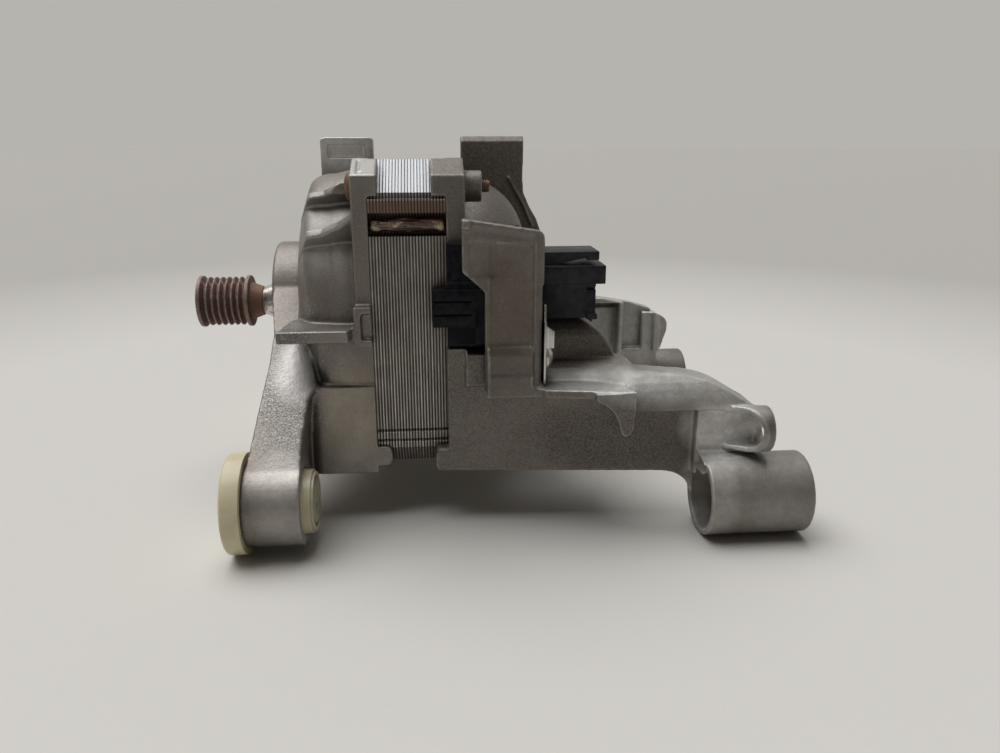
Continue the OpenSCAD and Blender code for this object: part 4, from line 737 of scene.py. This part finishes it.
# the bell's shoulder is nearly a straight cone: points under the line between two rings move out to it, all the way
# where the gap is small and less the wider it is, with a ramp over height and one along the line
def squareShoulder(mesh, look):
    points = meshArrays(mesh)[0]
    across = points[:, 1:] - np.array([0, axisHeight])
    radius = np.maximum(np.linalg.norm(across, axis=1), mm)
    spoke = across / radius[:, None]
    start, line = np.array(look["from"]) * mm, np.subtract(look["to"], look["from"]) * mm
    along = line / np.linalg.norm(line)
    normal = np.array([-along[1], along[0]])
    offset = np.column_stack([points[:, 0], radius]) - start
    gap = np.maximum(-offset @ normal, 0)
    share = np.clip((look["wide"] - gap / mm) / (look["wide"] - look["narrow"]), 0, 1)
    reached = offset @ along / mm
    share *= np.clip(reached / look["ease"], 0, 1) * np.clip((look["end"] - reached) / look["endEase"], 0, 1)
    share *= np.clip((across[:, 1] / mm - look["low"]) / (look["high"] - look["low"]), 0, 1)
    push = gap * share * look["share"]
    points[:, 0] += push * normal[0]
    points[:, 1:] += spoke * (push * normal[1])[:, None]
    movePoints(mesh, points)


# a closed bar that hangs under a line of (x, z) points between two places across the shaft
def addBar(work, bar):
    loop = bar["line"] + [(x, z - bar["thick"]) for x, z in reversed(bar["line"])]
    near, far = ([work.verts.new(fromAxis((x, y, z))) for x, z in loop] for y in bar["across"])
    walls = [(near[i - 1], near[i], far[i], far[i - 1]) for i in range(len(loop))]
    faces = [work.faces.new(corners) for corners in [near[::-1], far] + walls]
    bmesh.ops.recalc_face_normals(work, faces=faces)


# cast forms: the solids as small cells, whose corners are then rubbed round; nodes of one casting grow together
def castForm(name, look, form, *taken):
    work = joinedCopy(*taken)
    for bar in form["bars"]:
        addBar(work, bar)
    helper = addObject("helper", meshFrom(work, name))
    addModifier(helper, "REMESH", mode="VOXEL", voxel_size=look["cell"])
    addModifier(helper, "SMOOTH", factor=0.5, iterations=look["rounds"])
    mesh = applied(helper)
    pressDents(mesh, form["dents"])
    if form["shoulder"]:
        squareShoulder(mesh, form["shoulder"])
    mesh = blendAreas(mesh, form["blends"])
    triangles = 2 * len(mesh.polygons)
    if triangles > look["mostTriangles"]:
        helper = addObject("helper", mesh)
        addModifier(helper, "DECIMATE", ratio=look["mostTriangles"] / triangles)
        mesh = applied(helper)
    mesh.shade_smooth()
    mesh.name = name
    return standFor(name, mesh, *taken)


# crisp mouldings: flat faces joined again, then every edge gets a small round
def mouldedForm(name, node, look):
    flat, rounded, crease = (math.radians(angle) for angle in (1.0, 35.0, 40.0))
    work = joinedCopy(node)
    bmesh.ops.dissolve_limit(work, angle_limit=flat, verts=work.verts, edges=work.edges)
    helper = addObject("helper", meshFrom(work, name))
    addModifier(helper, "BEVEL", **look, limit_method="ANGLE", angle_limit=rounded)
    mesh = applied(helper)
    mesh.shade_smooth()
    mesh.set_sharp_from_angle(angle=crease)
    mesh.name = name
    return standFor(name, mesh, node)


def dent(low, high, border, push, depth):
    return {"low": low, "high": high, "border": border, "push": push, "depth": depth}


print("motor: cast shields")
shieldForm = {"cell": 0.5 * mm, "rounds": 5, "mostTriangles": 190000}
frontForm = {
    "dents": [
        dent((-40.9, -47.5, 40), (-39.7, -39, 60), (0.6, 1.2, 0), (0, 0, -1), 0.6),
        dent((-40.9, -48.6, 40), (-38.6, -47.0, 60), (0.6, 0.7, 0), (0, 0, -1), 0.5),
        dent((-62, 25.4, 51), (-37, 27.5, 58.5), (0.3, 0, 0.3), (0, 1, 0), -0.6),
    ],
    "blends": [
        {"low": (-62, -72, -46), "high": (-54, -48, -12), "border": 2.0, "rounds": 12},
        {"low": (-70, -46, -4), "high": (-50, 46, 52), "border": 3.0, "rounds": 4},
    ],
    "shoulder": {
        "from": (-64.6, 31.5), "to": (-59.4, 49.0), "narrow": 3.5, "wide": 8.0, "ease": 7.0, "end": 23.0,
        "endEase": 3.0, "low": -6.0, "high": 16.0, "share": 0.85,
    },
    "bars": [],
}
rearForm = {
    "dents": [
        dent((0.2, -72, -14), (14.6, -55, 29), (1.0, 0, 1.0), (0, 1, 0), 0.7),
        dent((-6.6, -72, 18), (3.0, -55, 30), (1.0, 0, 1.0), (0, 1, 0), 0.5),
        dent((13, -74, -17), (20, -54, 16), (0, 1.0, 1.0), (-1, 0, 0), 0.5),
        dent((67.5, -78, -46), (70.3, -65, -40), (0, 0.8, 1.5), (1, 0, 0), 1.5),
    ],
    "blends": [{"low": (28, -67, -18.3), "high": (54, -53, -8), "border": 2.0, "rounds": 12}],
    "shoulder": None,
    "bars": [
        {"line": [(65, -15.6), (70, -16.4), (72.4, -16.9), (75.5, -18.1)], "thick": 3.4, "across": (-60.5, -51.3)},
        {"line": [(74, -17.5), (76.9, -18.7), (80.7, -20.9), (89.2, -26.2)], "thick": 3.4, "across": (-63.0, -51.3)},
    ],
}
castForm("castFrontShield", shieldForm, frontForm, "front_shield")
castForm("castRearShield", shieldForm, rearForm, *rearCasting)

print("motor: mouldings")
bushEdge = {"width": 0.4 * mm, "segments": 3}
mouldedForm("bushNear", "front_bush_near", bushEdge)
mouldedForm("bushFar", "front_bush_far", bushEdge)
mouldEdge = {"width": 0.35 * mm, "segments": 2}
mouldedForm("brushHolderNear", "brush_holder_near", mouldEdge)
mouldedForm("brushHolderFar", "brush_holder_far", mouldEdge)
mouldedForm("connectorShell", "connector_housing", mouldEdge)
mouldedForm("earthStrip", "earth_tab", {"width": 0.15 * mm, "segments": 2})

print("motor: stator sheets")
stackForm = {"sheet": 1.0 * mm, "land": 0.22 * mm, "groove": 0.12 * mm, "uneven": 0.05 * mm}


# the stack is cut at three places in every sheet; the cut at a joint moves inwards by the groove's depth,
# and the two beside it move inwards by the sheet's own small random step, so that each sheet's edge shows
def sheetStack(name, node, look):
    work = joinedCopy(node)
    low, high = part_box(node)
    count = int(round((high.x - low.x) / look["sheet"]))
    joints = np.linspace(low.x, high.x, count + 1)
    cuts = np.sort(np.concatenate([joints[1:-1], joints[:-1] + look["land"], joints[1:] - look["land"]]))
    for cut in cuts:
        everything = [*work.verts, *work.edges, *work.faces]
        bmesh.ops.bisect_plane(work, geom=everything, dist=1e-7, plane_co=(cut, 0, 0), plane_no=(1, 0, 0))
    bmesh.ops.recalc_face_normals(work, faces=work.faces)
    work.normal_update()
    mesh = meshFrom(work, name)
    points, outward = meshArrays(mesh)
    outward[:, 0] = 0
    outward /= np.maximum(np.linalg.norm(outward, axis=1), 1e-9)[:, None]
    nearest = np.abs(points[:, 0, None] - joints[None, :]).min(axis=1)
    sheet = np.clip(np.searchsorted(joints, points[:, 0]) - 1, 0, count - 1)
    step = rng.uniform(-1.0, 0.0, count) * look["uneven"]
    outer = (np.abs(points[:, 0] - low.x) > 1e-6) & (np.abs(points[:, 0] - high.x) > 1e-6)
    move = np.where(nearest < 0.5 * look["land"], -look["groove"], step[sheet]) * outer
    points += outward * move[:, None]
    movePoints(mesh, points)
    return standFor(name, mesh, node)


sheetStack("sheetStack", "stator_stack", stackForm)


# a surface of revolution about the shaft: the profile's radii are carried round a circle
def turnedSurface(along, radius, around, centreY=0.0, centreZ=axisHeight):
    angle = np.linspace(0, 2 * np.pi, around, endpoint=False)
    ringX = np.repeat(along[:, None], around, axis=1)
    grow = np.broadcast_to(radius if radius.ndim == 2 else radius[:, None], ringX.shape)
    return np.stack([ringX, centreY + grow * np.cos(angle), centreZ + grow * np.sin(angle)], axis=-1)


# quads of a grid whose columns close into a ring
def ringFaces(rows, around, first=0):
    row, column = np.meshgrid(np.arange(rows - 1), np.arange(around), indexing="ij")
    following = (column + 1) % around
    here, above = row * around, (row + 1) * around
    corners = [here + column, here + following, above + following, above + column]
    return first + np.stack(corners, axis=-1).reshape(-1, 4)


# corners of a profile turned into arcs: between two points on the neighbouring edges, each corner
# becomes the curve (1-t)^2 a + 2t(1-t) c + t^2 b
def roundedProfile(points, radius, steps=5):
    points = np.asarray(points, float)
    corner = points[1:-1]
    before, after = points[:-2] - corner, points[2:] - corner
    lengthBefore = np.linalg.norm(before, axis=1)
    lengthAfter = np.linalg.norm(after, axis=1)
    reach = np.minimum(np.asarray(radius), 0.45 * np.minimum(lengthBefore, lengthAfter))
    a = corner + before * (reach / lengthBefore)[:, None]
    b = corner + after * (reach / lengthAfter)[:, None]
    t = np.linspace(0, 1, steps)[None, :, None]
    arcs = (1 - t) ** 2 * a[:, None] + 2 * t * (1 - t) * corner[:, None] + t ** 2 * b[:, None]
    return np.concatenate([points[:1], arcs.reshape(-1, 2), points[-1:]])


def gridMesh(name, grids):
    first = 0
    points, faces = [], []
    for grid in grids:
        rows, around = grid.shape[:2]
        points.append(grid.reshape(-1, 3))
        faces.append(ringFaces(rows, around, first))
        first += rows * around
    mesh = bpy.data.meshes.new(name)
    mesh.from_pydata(np.concatenate(points).tolist(), [], np.concatenate(faces).tolist())
    work = bmesh.new()
    work.from_mesh(mesh)
    bmesh.ops.remove_doubles(work, verts=work.verts, dist=1e-7)
    bmesh.ops.recalc_face_normals(work, faces=work.faces)
    work.to_mesh(mesh)
    work.free()
    mesh.shade_smooth()
    return mesh


print("motor: pulley and bolts")
pulleyForm = {
    "front": -105.25, "grooves": 7, "pitch": 2.34, "rim": 1.3, "rimRadius": 9.7, "outer": 9.2, "depth": 2.0, "tip": 0.5,
    "root": 0.3, "collar": 4.6, "collarStart": 7.1, "collarEnd": 5.4, "bore": 4.56, "mouth": 3.0, "mouthDepth": 1.7,
    "round": 0.35, "around": 96,
}


# the pulley's profile: rim, vee grooves, rim, tapered collar, then back along the bore
def groovedPulley(name, node, look):
    start = look["front"] + look["rim"] + look["pitch"] * np.arange(look["grooves"])
    outer = look["outer"]
    inner = outer - look["depth"]
    middle, tip, root = look["pitch"] / 2, look["tip"] / 2, look["root"] / 2
    groove = [(tip, outer), (middle - root, inner), (middle + root, inner), (look["pitch"] - tip, outer)]
    vee = np.array([(first + along, radius) for first in start for along, radius in groove])
    front, rim, mouth = look["front"], look["rimRadius"], look["mouth"]
    back = front + 2 * look["rim"] + look["grooves"] * look["pitch"]
    end = back + look["collar"]
    step = front + look["mouthDepth"]
    head = [[front, mouth], [front, rim], [front + look["rim"], rim]]
    tail = [
        [back - look["rim"], rim], [back, rim], [back, look["collarStart"]], [end, look["collarEnd"]],
        [end, look["bore"]], [step, look["bore"]], [step, mouth], [front, mouth],
    ]
    profile = roundedProfile(np.concatenate([head, vee, tail]), look["round"]) * mm
    grid = turnedSurface(profile[:, 0], profile[:, 1], look["around"])
    return standFor(name, gridMesh(name, [grid]), node)


groovedPulley("groovedPulley", "pulley", pulleyForm)

boltForm = {
    "y": 38.0, "z": 44.6, "under": -42.7, "headHeight": 2.8, "headRadius": 5.0, "shank": 2.1, "end": 2.1,
    "threadStart": -6.0, "threadPitch": 0.8, "threadDepth": 0.28, "around": 40, "domeRows": 12, "shankRows": 6,
    "rowsPerPitch": 8, "headEdge": 0.35, "domeShare": 0.93, "rim": 0.5, "underShare": 0.98, "neck": 0.2,
    "tipLength": 0.6, "tipLeast": 0.55, "tipTaper": 0.2, "tipStep": 0.5,
}


# one bolt: a domed head, a plain shank and a thread whose radius follows a triangle wave
# of (place along the bolt / pitch - turn), fading in over the first pitch and narrower at the tip
def boltGrid(look, y, z):
    under, head, shank = look["under"], look["headRadius"], look["shank"]
    first, last, pitch = look["threadStart"], look["end"], look["threadPitch"]
    rise = np.linspace(0, 0.5 * np.pi, look["domeRows"])
    height = look["headHeight"] * (look["headEdge"] + (1 - look["headEdge"]) * np.cos(rise))
    dome = np.stack([under - height, head * look["domeShare"] * np.sin(rise)], axis=-1)
    rim = [[under - look["rim"], head], [under, head * look["underShare"]], [under, shank]]
    plain = [[x, shank] for x in np.linspace(under + look["neck"], first, look["shankRows"])]
    along = np.linspace(first, last, int((last - first) / pitch * look["rowsPerPitch"]))[1:]
    cap = np.array([[last, shank - look["tipStep"]], [last, 0.0]])
    plain = np.concatenate([dome, rim, plain])
    angle = np.linspace(0, 1, look["around"], endpoint=False)
    wave = np.abs(2 * ((along[:, None] / pitch - angle[None, :]) % 1.0) - 1)
    fade = np.clip((along - first) / pitch, 0, 1)[:, None]
    taper = np.clip((last - along) / look["tipLength"], look["tipLeast"], 1)[:, None]
    thread = (shank - look["threadDepth"] * wave * fade) * (1 - look["tipTaper"] * (1 - taper))
    plainRows, capRows = (np.repeat(part[:, 1:], look["around"], axis=1) for part in (plain, cap))
    rows = np.concatenate([plainRows, thread, capRows])
    places = np.concatenate([plain[:, 0], along, cap[:, 0]])
    return turnedSurface(places * mm, rows * mm, look["around"], y * mm, axisHeight + z * mm)


bolts = [boltGrid(boltForm, side * boltForm["y"], rise * boltForm["z"]) for side in (-1, 1) for rise in (-1, 1)]
standFor("throughBolts", gridMesh("throughBolts", bolts), "through_bolts")

print("motor: wrapped leads")
leadForm = {
    "start": -37.1, "end": -12.9, "rows": 180, "around": 96, "y": -46.6, "z": 33.1, "halfY": 3.2, "halfZ": 2.4,
    "endPower": 32,
    "folds": [
        (2, 0.06, 0.9, 0.13), (4, -0.11, 2.1, 0.10), (6, 0.17, 4.0, 0.05), (3, 0.62, 1.0, 0.05), (10, -0.3, 0.4, 0.03),
    ],
}


# leads wrapped in film: an ellipse carried along the channel, whose radius loses the sum of several folds, each
# depth * (1 - |sin(count / 2 * turn + slant * place + phase)|), so that sharp creases run slanting round the roll
def wrappedLeads(name, node, look):
    along = np.linspace(look["start"], look["end"], look["rows"])
    turn = np.linspace(0, 2 * np.pi, look["around"], endpoint=False)
    lost = sum(
        depth * (1 - np.abs(np.sin(0.5 * count * turn[None, :] + slant * along[:, None] + phase)))
        for count, slant, phase, depth in look["folds"]
    )
    ends = np.sqrt(np.clip(1 - np.linspace(-1, 1, look["rows"]) ** look["endPower"], 0, 1))[:, None]
    radius = ends * (1 - lost)
    y = look["y"] + look["halfY"] * radius * np.cos(turn)
    z = look["z"] + look["halfZ"] * radius * np.sin(turn)
    x = np.repeat(along[:, None], look["around"], axis=1)
    return standFor(name, gridMesh(name, [np.stack([x * mm, y * mm, axisHeight + z * mm], axis=-1)]), node)


wrappedLeads("wrappedLeads", "lead_sleeve", leadForm)

print("motor: brush springs")
# each spring becomes a piece of its own, on the spring node's body
springForms = {
    "brushSpringNear": {"node": "brush_spring_near", "joint": "brush_near_slide", "outer": 0, "travel": 5.0 * mm},
    "brushSpringFar": {"node": "brush_spring_far", "joint": "brush_far_slide", "outer": 1, "travel": 5.0 * mm},
}
for name, look in springForms.items():
    spring = standFor(name, meshFrom(joinedCopy(look["node"]), name), look["node"])
    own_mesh(spring)

print("motor: finishes on the other nodes")
for node, target in sorted(nodes.items()):
    if not target.material_slots:
        target.data.materials.append(finishOf(node))
    for materialSlot in target.material_slots:
        materialSlot.material = finishOf(node)

print("motor: room")
roomLook = {
    "floorNear": (0.70, 0.682, 0.648), "floorFar": (0.49, 0.475, 0.445), "nearReach": 0.30, "farReach": 0.62,
    "seen": (0.47, 0.455, 0.425), "fill": 0.42, "sun": 2.5, "sunSpread": 60.0, "sunFrom": (-0.25, 0.16, 1.0),
    "window": (1.0, 0.99, 0.97), "windowAt": (-0.35, -0.62, 0.70), "windowFrom": 0.95, "windowTo": 0.985,
    "behindViewer": (0.15, 0.142, 0.13), "dimFrom": 0.25, "dimTo": -0.35, "floorReach": 8.0,
    "speck": (0.35, 0.32, 0.28), "speckScale": 220.0, "speckShare": 0.12,
}


def makeFloor(look):
    mesh = bpy.data.meshes.new("floor")
    reach = look["floorReach"]
    corners = [(-reach, -reach, 0), (reach, -reach, 0), (reach, reach, 0), (-reach, reach, 0)]
    mesh.from_pydata(corners, [], [(0, 1, 2, 3)])
    floor = addObject("floor", mesh)
    material, tree, shader = newMaterial("paleFloor")
    where = place(tree)
    distance = vectorCalc(tree, "LENGTH", where)["Value"]
    # paler near the motor and darker further out: a painted pool of light on the floor
    away = stretch(tree, distance, look["nearReach"], look["farReach"])
    tone = blendColour(tree, away, look["floorNear"], look["floorFar"])
    speck = stretch(tree, noise(tree, where, look["speckScale"], 4.0), 0.70, 0.76, 0.0, look["speckShare"])
    tone = blendColour(tree, speck, tone, look["speck"])
    feed(tree, tone, shader.inputs["Base Color"])
    setPlain(shader, {"Roughness": 0.6, "Specular IOR Level": 0.2})
    mesh.materials.append(material)


# the pale room is what the camera and the metal see, dimmer on the viewer's side; the light that it gives is weaker
def makeRoom(look):
    world = bpy.data.worlds.new("paleRoom")
    scene.world = world
    world.use_nodes = True
    tree = world.node_tree
    background = tree.nodes["Background"]
    path = put(tree, "LightPath").outputs
    mirrored = calc(tree, "MAXIMUM", path["Is Glossy Ray"], path["Is Transmission Ray"])
    seen = calc(tree, "MAXIMUM", path["Is Camera Ray"], mirrored)
    direction = put(tree, "TexCoord").outputs["Generated"]
    nearSide = stretch(tree, axesOf(tree, direction)[1], look["dimFrom"], look["dimTo"])
    windowSide = vectorCalc(tree, "DOT_PRODUCT", direction, look["windowAt"])["Value"]
    glow = times(tree, stretch(tree, windowSide, look["windowFrom"], look["windowTo"]), path["Is Glossy Ray"])
    room = blendColour(tree, nearSide, look["seen"], look["behindViewer"])
    feed(tree, blendColour(tree, glow, room, look["window"]), background.inputs["Color"])
    feed(tree, stretch(tree, seen, 0.0, 1.0, look["fill"], 1.0), background.inputs["Strength"])
    lamp = bpy.data.lights.new("overheadLight", "SUN")
    lamp.energy = look["sun"]
    lamp.angle = math.radians(look["sunSpread"])
    sun = addObject("overheadLight", lamp)
    x, y, z = look["sunFrom"]
    sun.rotation_euler = (math.atan2(math.hypot(x, y), z), 0, math.atan2(y, x) + 0.5 * math.pi)


makeFloor(roomLook)
makeRoom(roomLook)

# the photograph's view, for an image of 1000 by 753
cameraLook = {"place": (-0.01736, -0.31018, 0.12942), "tilt": 73.31, "turn": -4.854, "lens": 28.837}
camera = bpy.data.cameras.new("photoCamera")
camera.sensor_width = 36.0
camera.lens = cameraLook["lens"]
camera.clip_start = 0.01
cameraObject = addObject("photoCamera", camera)
cameraObject.location = cameraLook["place"]
cameraObject.rotation_euler = (math.radians(cameraLook["tilt"]), 0, math.radians(cameraLook["turn"]))
scene.camera = cameraObject
scene.view_settings.view_transform = "Standard"
